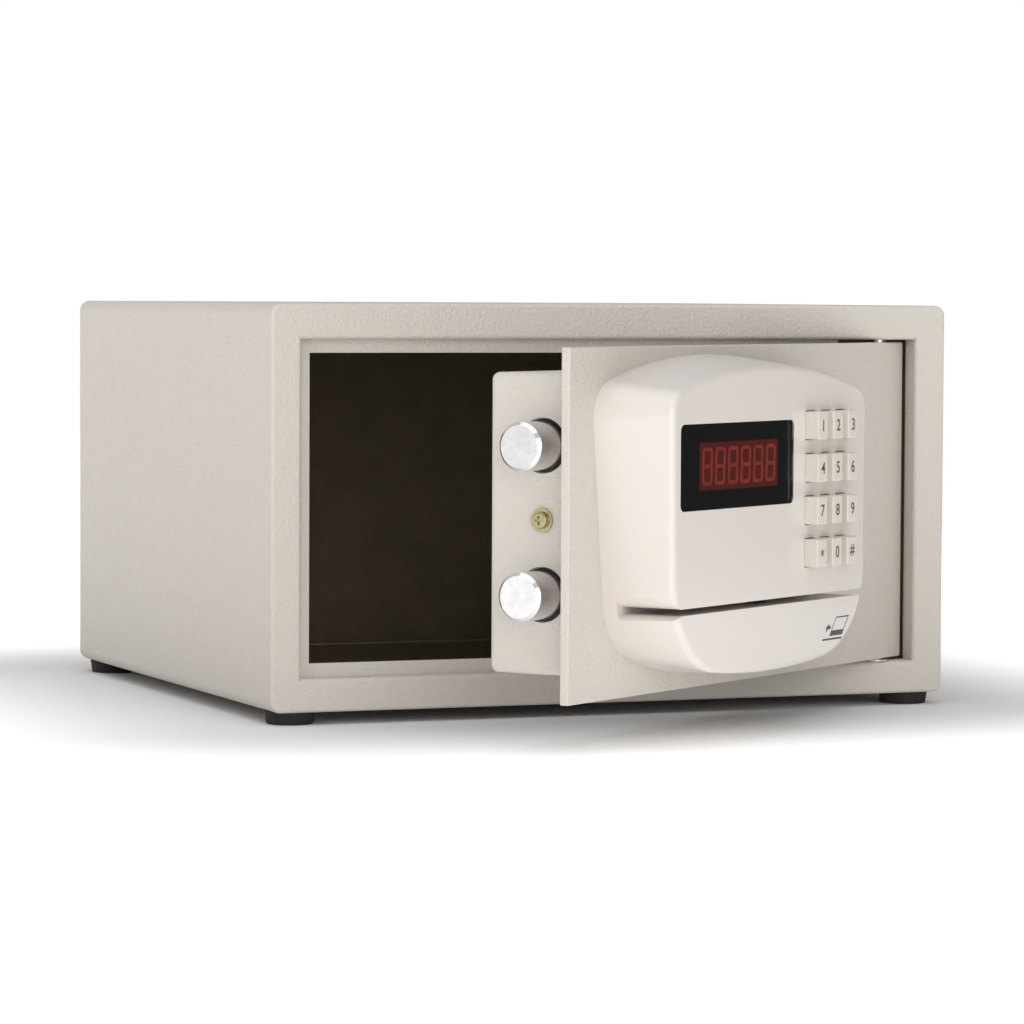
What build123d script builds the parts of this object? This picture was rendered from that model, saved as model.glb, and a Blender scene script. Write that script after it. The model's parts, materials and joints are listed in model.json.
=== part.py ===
"""Hotel-room safe with an electronic lock, in millimetres, +Z up, front towards -Y.

The origin is on the plane that the feet stand on, under the middle of the casing.
Everything that swings with the door is modelled with the door shut, then turned about the
hinge to the position in which the door stands open at rest.
"""

from build123d import *
import os
from math import acos, cos, pi, radians, sin, sqrt, tan

os.makedirs("parts", exist_ok=True)

# ---------------------------------------------------------------- driving dimensions
# casing: one wrapped sheet, a folded front frame and a welded back
WIDTH = 406.4
DEPTH = 369.0
BODY_HEIGHT = 221.6
FOOT_HEIGHT = 7.0
SHEET = 2.0
LONG_EDGE_RADIUS = 6.0
FRONT_EDGE_RADIUS = 1.8

# door opening in the front frame
LEFT_RAIL = 17.5
RIGHT_RAIL = 18.5
BOTTOM_RAIL = 18.5
TOP_RAIL = 19.4
REVEAL_DEPTH = 13.0
BEND_RADIUS = 2.5
STOP_SETBACK = 9.5
STOP_WIDTH = 7.4
STOP_THICKNESS = 2.0
STOP_END_FROM_HINGE = 25.0

# anchoring holes, feet and lining
ANCHOR_RADIUS = 5.0
ANCHOR_CLEARANCE = 1.0
FLOOR_ANCHOR_X = 250.0
FLOOR_ANCHOR_Y = 180.0
BACK_ANCHOR_X = 240.0
BACK_ANCHOR_Z = 120.0
FOOT_TOP_RADIUS = 14.0
FOOT_BASE_RADIUS = 13.0
FOOT_EDGE_RADIUS = 1.2
FOOT_INSET_X = 16.5
FOOT_INSET_Y = 16.5
CARPET = 3.0
LINING = 2.5
LINING_GAP = 0.2
LINING_SETBACK = 4.0
LINING_END_GAP = 1.0

# door plate and its pivot
DOOR_GAP = 1.6
DOOR_SETBACK = 1.5
DOOR_THICKNESS = 5.0
DOOR_EDGE_RADIUS = 0.8
REST_OPENING = 36.0
HINGE_FROM_REVEAL = 20.0
HINGE_SETBACK = 7.5
PIN_RADIUS = 4.0
PIN_IN_DOOR = 28.0
PIN_BELOW_GAP = 11.0
LUG_WIDTH = 18.0
LUG_DEPTH = 10.0
BUSH_RADIUS = 5.0
BUSH_CLEARANCE = 0.05
HINGE_BLOCK_LENGTH = 40.0
HINGE_BLOCK_SHIFT = 4.0
LUG_CORNER = 3.0
PIN_CHAMFER = 0.8
PIN_END_GAP = 1.0
WASHER_THICKNESS = 0.8
WASHER_RADIUS = 7.5
WASHER_CLEARANCE = 0.3

# boltwork behind the door plate
COVER_INSET = 15.0
COVER_WIDTH = 232.0
COVER_HEIGHT = 154.0
COVER_DEPTH = 52.0
COVER_RADIUS = 4.0
BOLT_RADIUS = 12.5
BOLT_PITCH = 76.0
BOLT_RISE = 2.0
BOLT_OFFSET = 20.0
BOLT_STANDS_OUT = 22.7
BOLT_LENGTH = 52.0
BOLT_CHAMFER = 1.6
BUSH_WALL = 1.4
BUSH_FLANGE = 2.0
BOLT_SCREW_RADIUS = 2.5
BOLT_SCREW_GRIP = 12.0
BOLT_SCREW_HOLE = 14.0
BOLT_SCREW_HEAD_RADIUS = 4.6
BOLT_SCREW_HEAD = 3.5
CARRIAGE_WIDTH = 24.0
CARRIAGE_CORNER = 4.0
BOLT_HOLE_RADIUS = 14.3
CARRIAGE_THICKNESS = 4.0
MODULE = 1.5
PINION_TEETH = 16
PRESSURE_ANGLE = 20.0
BACKLASH = 0.1
RACK_ADDENDUM = 1.35
RACK_DEDENDUM = 1.8
SHAFT_RADIUS = 3.0

# lock housing on the front of the door
HOUSING_DEPTH = 42.0
HOUSING_WALL = 2.5
HOUSING_FROM_FREE_EDGE = 137.2
HOUSING_EDGE_RADIUS = 3.5
FUSE_OVERLAP = 0.5
FAR = 300.0
GROOVE_HEIGHT = 73.4
GROOVE_WIDTH = 3.4
GROOVE_FLOOR = 8.0
GROOVE_CORNER = 9.0
WINDOW_WIDTH = 120.0
WINDOW_HEIGHT = 44.2
WINDOW_RADIUS = 3.5
WINDOW_FROM_FREE_EDGE = 99.2
WINDOW_CENTRE_Z = 146.6
WINDOW_FLANGE = 2.0
WINDOW_FLANGE_THICKNESS = 1.5
WINDOW_PLAY = 0.15
WINDOW_RECESS = 0.2
DISPLAY_GAP = 0.6
DISPLAY_MARGIN = 0.5
PILLAR_RADIUS = 4.0
PILLAR_HOLE = 22.0
BOARD_LEVEL = 30.0
BOARD_THICKNESS = 1.6

# keypad
KEY_WIDTH = 10.8
KEY_HEIGHT = 14.8
KEY_PROUD = 8.0
KEY_TRAVEL = 1.5
KEY_PITCH_X = 17.0
KEY_PITCH_Z = 22.6
KEYPAD_FROM_FREE_EDGE = 194.2
KEYPAD_CENTRE_Z = 131.4
KEY_HOLE_WIDTH = 11.4
KEY_HOLE_HEIGHT = 15.8
KEY_HOLE_CORNER = 1.0
KEY_CORNER = 0.8
KEY_EDGE_RADIUS = 0.7
KEY_FLANGE = 0.8
KEY_FLANGE_PLAY = 0.3
KEY_FOOT_GAP = 0.2

# ---------------------------------------------------------------- derived places
FRONT = -DEPTH / 2
BACK = DEPTH / 2
BODY_MIDDLE = FOOT_HEIGHT + BODY_HEIGHT / 2
INNER_CORNER = LONG_EDGE_RADIUS - SHEET
BODY_TOP = FOOT_HEIGHT + BODY_HEIGHT
OPENING_LEFT = -WIDTH / 2 + LEFT_RAIL
OPENING_RIGHT = WIDTH / 2 - RIGHT_RAIL
OPENING_BOTTOM = FOOT_HEIGHT + BOTTOM_RAIL
OPENING_TOP = BODY_TOP - TOP_RAIL
OPENING_WIDTH = OPENING_RIGHT - OPENING_LEFT
OPENING_HEIGHT = OPENING_TOP - OPENING_BOTTOM
OPENING_X = (OPENING_LEFT + OPENING_RIGHT) / 2
OPENING_Z = (OPENING_BOTTOM + OPENING_TOP) / 2

DOOR_LEFT = OPENING_LEFT + DOOR_GAP
DOOR_WIDTH = OPENING_WIDTH - 2 * DOOR_GAP
DOOR_HEIGHT = OPENING_HEIGHT - 2 * DOOR_GAP
DOOR_BOTTOM = OPENING_BOTTOM + DOOR_GAP
DOOR_TOP = OPENING_TOP - DOOR_GAP
DOOR_BACK = DOOR_SETBACK + DOOR_THICKNESS
HINGE_X = OPENING_RIGHT - HINGE_FROM_REVEAL
HINGE_Y = FRONT + HINGE_SETBACK
HINGE_AXIS = Axis((HINGE_X, HINGE_Y, 0), (0, 0, 1))

HOUSING_X = DOOR_LEFT + HOUSING_FROM_FREE_EDGE
WINDOW_X = DOOR_LEFT + WINDOW_FROM_FREE_EDGE
KEYPAD_X = DOOR_LEFT + KEYPAD_FROM_FREE_EDGE
INNER_FACE = HOUSING_DEPTH - HOUSING_WALL
GROOVE_TOP = GROOVE_HEIGHT + GROOVE_WIDTH / 2
GROOVE_BOTTOM = GROOVE_HEIGHT - GROOVE_WIDTH / 2

COVER_LEFT = DOOR_LEFT + COVER_INSET
COVER_RIGHT = COVER_LEFT + COVER_WIDTH
COVER_X = COVER_LEFT + COVER_WIDTH / 2
BOLT_MIDDLE = OPENING_Z + BOLT_RISE
BOLT_LEVELS = (BOLT_MIDDLE + BOLT_PITCH / 2, BOLT_MIDDLE - BOLT_PITCH / 2)
BOLT_TIP = COVER_LEFT - BOLT_STANDS_OUT
CARRIAGE_LEFT = BOLT_TIP + BOLT_LENGTH
CHASSIS_PLAY = 0.5
CHASSIS_LEFT = COVER_LEFT + SHEET + CHASSIS_PLAY
CHASSIS_RIGHT = COVER_RIGHT - SHEET
CHASSIS_SHEET = 2.0
GUIDE_THICKNESS = 3.0
PITCH_RADIUS = MODULE * PINION_TEETH / 2
PINION_FROM_CARRIAGE = 44.0
PINION_RISE = 5.0
PINION_X = CARRIAGE_LEFT + PINION_FROM_CARRIAGE
PINION_Z = BOLT_MIDDLE + PINION_RISE
RACK_LINE = PINION_Z - PITCH_RADIUS
RACK_BACKING = 7.0
RACK_BOTTOM = RACK_LINE - RACK_DEDENDUM - RACK_BACKING
GEAR_WIDTH = 6.0
BRIDGE_LEVEL = 25.0
BATTERY_FROM_COVER = 74.0
BATTERY_X = COVER_RIGHT - BATTERY_FROM_COVER
BATTERY_Z = BOLT_MIDDLE


def front_plane(setback):
    """A plane behind the front face, whose x and y are X and Z and whose normal points out."""
    return Plane(origin=(0, FRONT + setback, 0), x_dir=(1, 0, 0), z_dir=(0, -1, 0))


def door_front(height):
    """A plane in front of the door plate's face, at a height above it."""
    return front_plane(DOOR_SETBACK - height)


def door_back(height):
    """A plane behind the door plate, at a height above its back, with its normal inwards."""
    where = (0, FRONT + DOOR_BACK + height, 0)
    return Plane(origin=where, x_dir=(-1, 0, 0), z_dir=(0, 1, 0))


def side_plane(x):
    """A plane across the safe at X, whose x and y are Y and Z."""
    return Plane(origin=(x, 0, 0), x_dir=(0, 1, 0), z_dir=(1, 0, 0))


def save(builder, name):
    """Write a piece that stays with the casing."""
    builder.part.label = name
    export_step(builder.part, f"parts/{name}.step")


def save_on_door(builder, name):
    """Turn a piece with the door to its open rest position, and write it."""
    turned = builder.part.rotate(HINGE_AXIS, REST_OPENING)
    turned.label = name
    export_step(turned, f"parts/{name}.step")


# ================================================================ casing
FLOOR_ANCHORS = GridLocations(FLOOR_ANCHOR_X, FLOOR_ANCHOR_Y, 2, 2)
FOOT_SPOTS = GridLocations(WIDTH - 2 * FOOT_INSET_X, DEPTH - 2 * FOOT_INSET_Y, 2, 2)
FOOT_SCREW_RADIUS = 2.0

with BuildPart() as body_shell:
    with BuildSketch(front_plane(SHEET)):
        with Locations((0, BODY_MIDDLE)):
            RectangleRounded(WIDTH, BODY_HEIGHT, LONG_EDGE_RADIUS)
            RectangleRounded(WIDTH - 2 * SHEET, BODY_HEIGHT - 2 * SHEET,
                             INNER_CORNER, mode=Mode.SUBTRACT)
    extrude(amount=-(DEPTH - SHEET))
    with BuildSketch(Plane.XY.offset(FOOT_HEIGHT)):
        with FLOOR_ANCHORS:
            Circle(ANCHOR_RADIUS)
        with FOOT_SPOTS:
            Circle(FOOT_SCREW_RADIUS)
    extrude(amount=SHEET, mode=Mode.SUBTRACT)
save(body_shell, "body_shell")


def in_opening(edge):
    """True for an edge that runs round the door opening."""
    middle = edge.center()
    across = abs(middle.X - OPENING_X) <= OPENING_WIDTH / 2 + 0.1
    return across and abs(middle.Z - OPENING_Z) <= OPENING_HEIGHT / 2 + 0.1


with BuildPart() as front_frame:
    with BuildSketch(front_plane(SHEET)):
        with Locations((0, BODY_MIDDLE)):
            RectangleRounded(WIDTH, BODY_HEIGHT, LONG_EDGE_RADIUS)
    extrude(amount=SHEET)
    with BuildSketch(front_plane(REVEAL_DEPTH)):
        with Locations((OPENING_X, OPENING_Z)):
            Rectangle(OPENING_WIDTH + 2 * SHEET, OPENING_HEIGHT + 2 * SHEET)
    extrude(amount=REVEAL_DEPTH)
    with BuildSketch(front_plane(REVEAL_DEPTH)):
        with Locations((OPENING_X, OPENING_Z)):
            Rectangle(OPENING_WIDTH, OPENING_HEIGHT)
    extrude(amount=REVEAL_DEPTH, mode=Mode.SUBTRACT)
    front_edges = front_frame.edges().group_by(Axis.Y)[0]
    fillet(front_edges.filter_by(in_opening), BEND_RADIUS)
    front_edges = front_frame.edges().group_by(Axis.Y)[0]
    fillet(front_edges.filter_by(lambda edge: not in_opening(edge)), FRONT_EDGE_RADIUS)
    with BuildSketch(Plane.XY.offset(OPENING_BOTTOM - SHEET)):
        with Locations((HINGE_X, HINGE_Y)):
            Circle(BUSH_RADIUS)
    extrude(amount=OPENING_HEIGHT + 2 * SHEET, mode=Mode.SUBTRACT)
save(front_frame, "front_frame")

with BuildPart() as door_stop:
    with BuildSketch(front_plane(STOP_SETBACK + STOP_THICKNESS)):
        with Locations((OPENING_X, OPENING_Z)):
            Rectangle(OPENING_WIDTH, OPENING_HEIGHT)
            Rectangle(OPENING_WIDTH - 2 * STOP_WIDTH, OPENING_HEIGHT - 2 * STOP_WIDTH,
                      mode=Mode.SUBTRACT)
        with Locations((HINGE_X - STOP_END_FROM_HINGE, OPENING_Z)):
            Rectangle(OPENING_WIDTH, OPENING_HEIGHT, align=(Align.MIN, Align.CENTER),
                      mode=Mode.SUBTRACT)
    extrude(amount=STOP_THICKNESS)
save(door_stop, "door_stop")

with BuildPart() as back_panel:
    with BuildSketch(front_plane(DEPTH)):
        with Locations((0, BODY_MIDDLE)):
            RectangleRounded(WIDTH - 2 * SHEET, BODY_HEIGHT - 2 * SHEET, INNER_CORNER)
            with GridLocations(BACK_ANCHOR_X, BACK_ANCHOR_Z, 2, 2):
                Circle(ANCHOR_RADIUS, mode=Mode.SUBTRACT)
    extrude(amount=SHEET)
save(back_panel, "back_panel")

# ---------------------------------------------------------------- lining
LINING_FRONT = FRONT + REVEAL_DEPTH + LINING_SETBACK
LINING_BACK = BACK - SHEET
INSIDE_WIDTH = WIDTH - 2 * SHEET - 2 * LINING_GAP
INSIDE_BOTTOM = FOOT_HEIGHT + SHEET
INSIDE_TOP = BODY_TOP - SHEET

with BuildPart() as floor_carpet:
    with BuildSketch(Plane.XY.offset(INSIDE_BOTTOM)):
        with Locations((0, (LINING_FRONT + LINING_BACK) / 2)):
            Rectangle(INSIDE_WIDTH - 2 * LONG_EDGE_RADIUS, LINING_BACK - LINING_FRONT)
        with FLOOR_ANCHORS:
            Circle(ANCHOR_RADIUS + ANCHOR_CLEARANCE, mode=Mode.SUBTRACT)
    extrude(amount=CARPET)
save(floor_carpet, "floor_carpet")

with BuildPart() as top_lining:
    with BuildSketch(Plane.XY.offset(INSIDE_TOP)):
        with Locations((0, (LINING_FRONT + LINING_BACK) / 2)):
            Rectangle(INSIDE_WIDTH - 2 * LONG_EDGE_RADIUS, LINING_BACK - LINING_FRONT)
    extrude(amount=-LINING)
save(top_lining, "top_lining")


def side_lining(outer_face, thickness):
    """A felt panel against a side wall, clear of the body's round corners."""
    low = INSIDE_BOTTOM + INNER_CORNER + LINING_GAP
    high = INSIDE_TOP - INNER_CORNER - LINING_GAP
    middle = ((LINING_FRONT + LINING_BACK - LINING) / 2, (low + high) / 2)
    with BuildPart() as panel:
        with BuildSketch(side_plane(outer_face)):
            with Locations(middle):
                Rectangle(LINING_BACK - LINING - LINING_FRONT - LINING_GAP, high - low)
        extrude(amount=thickness)
    return panel


save(side_lining(-WIDTH / 2 + SHEET, LINING), "left_lining")
save(side_lining(WIDTH / 2 - SHEET, -LINING), "right_lining")

with BuildPart() as back_lining:
    with BuildSketch(front_plane(DEPTH - SHEET)):
        with Locations((0, BODY_MIDDLE + (CARPET - LINING) / 2)):
            Rectangle(INSIDE_WIDTH,
                      INSIDE_TOP - INSIDE_BOTTOM - CARPET - LINING - 2 * LINING_END_GAP)
        with Locations((0, BODY_MIDDLE)):
            with GridLocations(BACK_ANCHOR_X, BACK_ANCHOR_Z, 2, 2):
                Circle(ANCHOR_RADIUS + ANCHOR_CLEARANCE, mode=Mode.SUBTRACT)
    extrude(amount=LINING)
save(back_lining, "back_lining")

# ---------------------------------------------------------------- feet
FOOT_RECESS_RADIUS = 6.5
FOOT_RECESS = 4.0
FOOT_SCREW_HEAD_RADIUS = 4.5
FOOT_SCREW_HEAD = 2.2
FOOT_SCREW_EDGE = 1.0
CROSS_LENGTH = 4.8
CROSS_WIDTH = 1.1
CROSS_DEPTH = 1.4

for side_name, side in (("left", -1), ("right", 1)):
    for end_name, end in (("front", -1), ("rear", 1)):
        spot = (side * (WIDTH / 2 - FOOT_INSET_X), end * (DEPTH / 2 - FOOT_INSET_Y))
        with BuildPart() as foot:
            with BuildSketch(Plane.XY):
                with Locations(spot):
                    Circle(FOOT_BASE_RADIUS)
            with BuildSketch(Plane.XY.offset(FOOT_HEIGHT)):
                with Locations(spot):
                    Circle(FOOT_TOP_RADIUS)
            loft()
            fillet(foot.edges().group_by(Axis.Z)[0], FOOT_EDGE_RADIUS)
            with BuildSketch(Plane.XY):
                with Locations(spot):
                    Circle(FOOT_RECESS_RADIUS)
            extrude(amount=FOOT_RECESS, mode=Mode.SUBTRACT)
            with BuildSketch(Plane.XY.offset(FOOT_RECESS)):
                with Locations(spot):
                    Circle(FOOT_SCREW_RADIUS)
            extrude(amount=FOOT_HEIGHT - FOOT_RECESS, mode=Mode.SUBTRACT)
        save(foot, f"{end_name}_{side_name}_foot")

with BuildPart() as foot_screws:
    with BuildSketch(Plane.XY.offset(FOOT_RECESS)):
        with FOOT_SPOTS:
            Circle(FOOT_SCREW_HEAD_RADIUS)
    extrude(amount=-FOOT_SCREW_HEAD)
    fillet(foot_screws.edges().group_by(Axis.Z)[0], FOOT_SCREW_EDGE)
    with BuildSketch(Plane.XY.offset(FOOT_RECESS)):
        with FOOT_SPOTS:
            Circle(FOOT_SCREW_RADIUS)
    extrude(amount=FOOT_HEIGHT + SHEET - FOOT_RECESS)
    with BuildSketch(Plane.XY.offset(FOOT_RECESS - FOOT_SCREW_HEAD)):
        with FOOT_SPOTS:
            Rectangle(CROSS_LENGTH, CROSS_WIDTH)
            Rectangle(CROSS_WIDTH, CROSS_LENGTH)
    extrude(amount=CROSS_DEPTH, mode=Mode.SUBTRACT)
save(foot_screws, "foot_screws")


# ---------------------------------------------------------------- hinge, on the casing
def hinge_block(level, height):
    """A steel block inside a rail, which carries the bush that the door pin turns in."""
    with BuildPart() as block:
        with BuildSketch(Plane.XY.offset(level)):
            with Locations((HINGE_X - HINGE_BLOCK_SHIFT, FRONT + SHEET)):
                Rectangle(HINGE_BLOCK_LENGTH, REVEAL_DEPTH - SHEET,
                          align=(Align.CENTER, Align.MIN))
            with Locations((HINGE_X, HINGE_Y)):
                Circle(BUSH_RADIUS, mode=Mode.SUBTRACT)
        extrude(amount=height)
    return block


def hinge_bush(level, height):
    """A bronze sleeve in the block and in the frame's sheet."""
    with BuildPart() as bush:
        with BuildSketch(Plane.XY.offset(level)):
            with Locations((HINGE_X, HINGE_Y)):
                Circle(BUSH_RADIUS)
                Circle(PIN_RADIUS + BUSH_CLEARANCE, mode=Mode.SUBTRACT)
        extrude(amount=height)
    return bush


BLOCK_HEIGHT = PIN_BELOW_GAP - SHEET + PIN_END_GAP
save(hinge_block(OPENING_BOTTOM - SHEET, -BLOCK_HEIGHT), "lower_hinge_block")
save(hinge_block(OPENING_TOP + SHEET, BLOCK_HEIGHT), "upper_hinge_block")
save(hinge_bush(OPENING_BOTTOM, -(PIN_BELOW_GAP + PIN_END_GAP)), "lower_hinge_bush")
save(hinge_bush(OPENING_TOP, PIN_BELOW_GAP + PIN_END_GAP), "upper_hinge_bush")

with BuildPart() as hinge_washer:
    with BuildSketch(Plane.XY.offset(OPENING_BOTTOM)):
        with Locations((HINGE_X, HINGE_Y)):
            Circle(WASHER_RADIUS)
            Circle(PIN_RADIUS + WASHER_CLEARANCE, mode=Mode.SUBTRACT)
    extrude(amount=WASHER_THICKNESS)
save(hinge_washer, "hinge_washer")

# ================================================================ door plate and hinge pins
UPPER_PILLARS = ((-92.0, 94.0), (92.0, 94.0), (-90.0, 178.0), (90.0, 178.0))
LOWER_PILLARS = ((-66.0, 56.0), (66.0, 56.0))
PILLARS = [(HOUSING_X + x, z) for x, z in UPPER_PILLARS + LOWER_PILLARS]
SCREW_RADIUS = 1.6
CABLE_HOLE_RADIUS = 8.0
CABLE_HOLE = (HOUSING_X + 30, 150.0)

with BuildPart() as door_plate:
    with BuildSketch(front_plane(DOOR_BACK)):
        with Locations((OPENING_X, OPENING_Z)):
            Rectangle(DOOR_WIDTH, DOOR_HEIGHT)
    extrude(amount=DOOR_THICKNESS)
    fillet(door_plate.edges(), DOOR_EDGE_RADIUS)
    with BuildSketch(front_plane(DOOR_BACK)):
        with Locations(*PILLARS):
            Circle(SCREW_RADIUS)
        with Locations(CABLE_HOLE):
            Circle(CABLE_HOLE_RADIUS)
    extrude(amount=DOOR_THICKNESS, mode=Mode.SUBTRACT)
    for level, length in ((DOOR_BOTTOM, PIN_IN_DOOR), (DOOR_TOP, -PIN_IN_DOOR)):
        with BuildSketch(Plane.XY.offset(level)):
            with Locations((HINGE_X, HINGE_Y)):
                Circle(PIN_RADIUS)
        extrude(amount=length, mode=Mode.SUBTRACT)
save_on_door(door_plate, "door_plate")


def hinge_lug(level, height):
    """A block welded to the back of the door plate, bored for the pin."""
    with BuildPart() as lug:
        with BuildSketch(Plane.XY.offset(level)):
            with Locations((HINGE_X, FRONT + DOOR_BACK)):
                Rectangle(LUG_WIDTH, LUG_DEPTH, align=(Align.CENTER, Align.MIN))
        extrude(amount=height)
        fillet(lug.edges().filter_by(Axis.Z).sort_by(Axis.Y)[-2:], LUG_CORNER)
        with BuildSketch(Plane.XY.offset(level)):
            with Locations((HINGE_X, HINGE_Y)):
                Circle(PIN_RADIUS)
        extrude(amount=height, mode=Mode.SUBTRACT)
    return lug


def hinge_pin(level, outwards):
    """A steel pin pressed into the lug, whose free end reaches into the frame's bush."""
    start = level - outwards * PIN_IN_DOOR
    length = PIN_IN_DOOR + DOOR_GAP + PIN_BELOW_GAP
    with BuildPart() as pin:
        with BuildSketch(Plane.XY.offset(start)):
            with Locations((HINGE_X, HINGE_Y)):
                Circle(PIN_RADIUS)
        extrude(amount=outwards * length)
        tip = pin.edges().group_by(Axis.Z)[-1 if outwards > 0 else 0]
        chamfer(tip, PIN_CHAMFER)
    return pin


save_on_door(hinge_lug(DOOR_BOTTOM, PIN_IN_DOOR), "lower_hinge_lug")
save_on_door(hinge_lug(DOOR_TOP, -PIN_IN_DOOR), "upper_hinge_lug")
save_on_door(hinge_pin(DOOR_BOTTOM, -1), "lower_hinge_pin")
save_on_door(hinge_pin(DOOR_TOP, 1), "upper_hinge_pin")


# ================================================================ lock housing
# the outline at the door plate and at the housing's face
BASE_OUTLINE = dict(crest=203.0, top_arc=400.0, half_top=115.5, half_bottom=101.5,
                    keel=34.3, keel_arc=255.0, radii=(20.0, 38.0))
FACE_OUTLINE = dict(crest=197.5, top_arc=400.0, half_top=105.5, half_bottom=104.5,
                    keel=37.3, keel_arc=700.0, radii=(13.0, 52.0))
LOCK_EDGE_HALF = 104.6
READER_EDGE_HALF = 103.0


def outline(plane, crest, top_arc, half_top, half_bottom, keel, keel_arc, radii, inset=0.0):
    """The housing's outline on a plane: two long arcs joined by sides, with round corners."""
    def arc_height(radius, half):
        return radius - sqrt(radius**2 - half**2)

    top_z = crest - arc_height(top_arc, half_top)
    low_z = keel + arc_height(keel_arc, half_bottom)
    with BuildSketch(plane) as sketch:
        with BuildLine():
            ThreePointArc((HOUSING_X - half_top, top_z), (HOUSING_X, crest),
                          (HOUSING_X + half_top, top_z))
            Line((HOUSING_X + half_top, top_z), (HOUSING_X + half_bottom, low_z))
            ThreePointArc((HOUSING_X + half_bottom, low_z), (HOUSING_X, keel),
                          (HOUSING_X - half_bottom, low_z))
            Line((HOUSING_X - half_bottom, low_z), (HOUSING_X - half_top, top_z))
        make_face()
        fillet(sketch.vertices().group_by(Axis.Y)[-1], radii[0])
        fillet(sketch.vertices().group_by(Axis.Y)[0], radii[1])
        if inset:
            offset(amount=-inset, mode=Mode.REPLACE)
    return sketch.sketch


def housing_form(low, high, inset=0.0):
    """Loft between the outline at the door plate and the one at the housing's face."""
    base = outline(door_front(low), inset=inset, **BASE_OUTLINE)
    face = outline(door_front(high), inset=inset, **FACE_OUTLINE)
    with BuildPart() as form:
        loft(sections=[base, face])
    return form.part


def block(left, right, low, high, start, height):
    """A straight-sided block in front of the door plate."""
    with BuildPart() as piece:
        with BuildSketch(door_front(start)):
            with Locations(((left + right) / 2, (low + high) / 2)):
                Rectangle(right - left, high - low)
        extrude(amount=height)
    return piece.part


def groove_cut(edge, away, half_width):
    """What is cut beside the card groove: all on its side of an edge, and the edge's corners."""
    beyond = (Align.CENTER, Align.MAX if away > 0 else Align.MIN)
    kept = (Align.CENTER, Align.MIN if away > 0 else Align.MAX)
    with BuildPart() as piece:
        with BuildSketch(door_front(GROOVE_FLOOR)) as cutter:
            with Locations((HOUSING_X, edge + away * (GROOVE_CORNER + FUSE_OVERLAP))):
                Rectangle(FAR, FAR, align=beyond)
            with Locations((HOUSING_X, edge)):
                Rectangle(2 * half_width, FAR, align=kept, mode=Mode.SUBTRACT)
            corners = cutter.vertices().filter_by(lambda v: abs(v.X - HOUSING_X) < half_width + 1)
            fillet(corners.filter_by(lambda v: abs(v.Y - edge) < 0.01), GROOVE_CORNER)
        extrude(amount=HOUSING_DEPTH)
    return piece.part


KEY_NAMES = ("1", "2", "3", "4", "5", "6", "7", "8", "9", "star", "0", "hash")
KEY_SPOTS = [(KEYPAD_X + (i % 3 - 1) * KEY_PITCH_X, KEYPAD_CENTRE_Z + (1.5 - i // 3) * KEY_PITCH_Z)
             for i in range(12)]
BOARD_LEFT = HOUSING_X - 84.0
BOARD_RIGHT = HOUSING_X + 85.0
BOARD_LOW = 79.5
BOARD_HIGH = 184.0
BOARD_POST_INSET = 5.0
BOARD_POST_RADIUS = 3.0
BOARD_SCREW_RADIUS = 1.3
BOARD_POSTS = [(x, z) for x in (BOARD_LEFT + BOARD_POST_INSET, BOARD_RIGHT - BOARD_POST_INSET)
               for z in (BOARD_LOW + BOARD_POST_INSET, BOARD_HIGH - BOARD_POST_INSET)]
BOARD_TOP = BOARD_LEVEL + BOARD_THICKNESS

with BuildPart() as lock_housing:
    add(housing_form(0, HOUSING_DEPTH))
    fillet(lock_housing.faces().sort_by(Axis.Y)[0].edges(), HOUSING_EDGE_RADIUS)
    add(groove_cut(GROOVE_TOP, 1, LOCK_EDGE_HALF), mode=Mode.SUBTRACT)
    add(block(-FAR, FAR, 0, GROOVE_HEIGHT, 0, GROOVE_FLOOR), mode=Mode.SUBTRACT)
    hollow = housing_form(0, INNER_FACE, HOUSING_WALL)
    hollow -= block(-FAR, FAR, 0, GROOVE_TOP + HOUSING_WALL, 0, HOUSING_DEPTH)
    add(hollow, mode=Mode.SUBTRACT)
    with BuildSketch(door_front(0)):
        with Locations(*PILLARS[:4]):
            Circle(PILLAR_RADIUS)
    extrude(amount=INNER_FACE + FUSE_OVERLAP)
    with BuildSketch(door_front(0)):
        with Locations(*PILLARS[:4]):
            Circle(SCREW_RADIUS)
    extrude(amount=PILLAR_HOLE, mode=Mode.SUBTRACT)
    with BuildSketch(door_front(BOARD_TOP)):
        with Locations(*BOARD_POSTS):
            Circle(BOARD_POST_RADIUS)
    extrude(amount=INNER_FACE + FUSE_OVERLAP - BOARD_TOP)
    with BuildSketch(door_front(INNER_FACE - 1)):
        with Locations((WINDOW_X, WINDOW_CENTRE_Z)):
            RectangleRounded(WINDOW_WIDTH, WINDOW_HEIGHT, WINDOW_RADIUS)
        with Locations(*KEY_SPOTS):
            RectangleRounded(KEY_HOLE_WIDTH, KEY_HOLE_HEIGHT, KEY_HOLE_CORNER)
    extrude(amount=HOUSING_WALL + 2, mode=Mode.SUBTRACT)
save_on_door(lock_housing, "lock_housing")

HEAD_X = HOUSING_X + 12.0
HEAD_LOW = 17.0
HEAD_LENGTH = 12.0
HEAD_WIDTH = 8.0
HEAD_HEIGHT = 14.0
HEAD_CORNER = 1.2
HEAD_PROUD = 0.8
HEAD_PLAY = 0.3
HEAD_SEAT_MARGIN = 4.0
HEAD_SEAT_WING = 6.0
HEAD_SEAT_THICKNESS = 2.0

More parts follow.
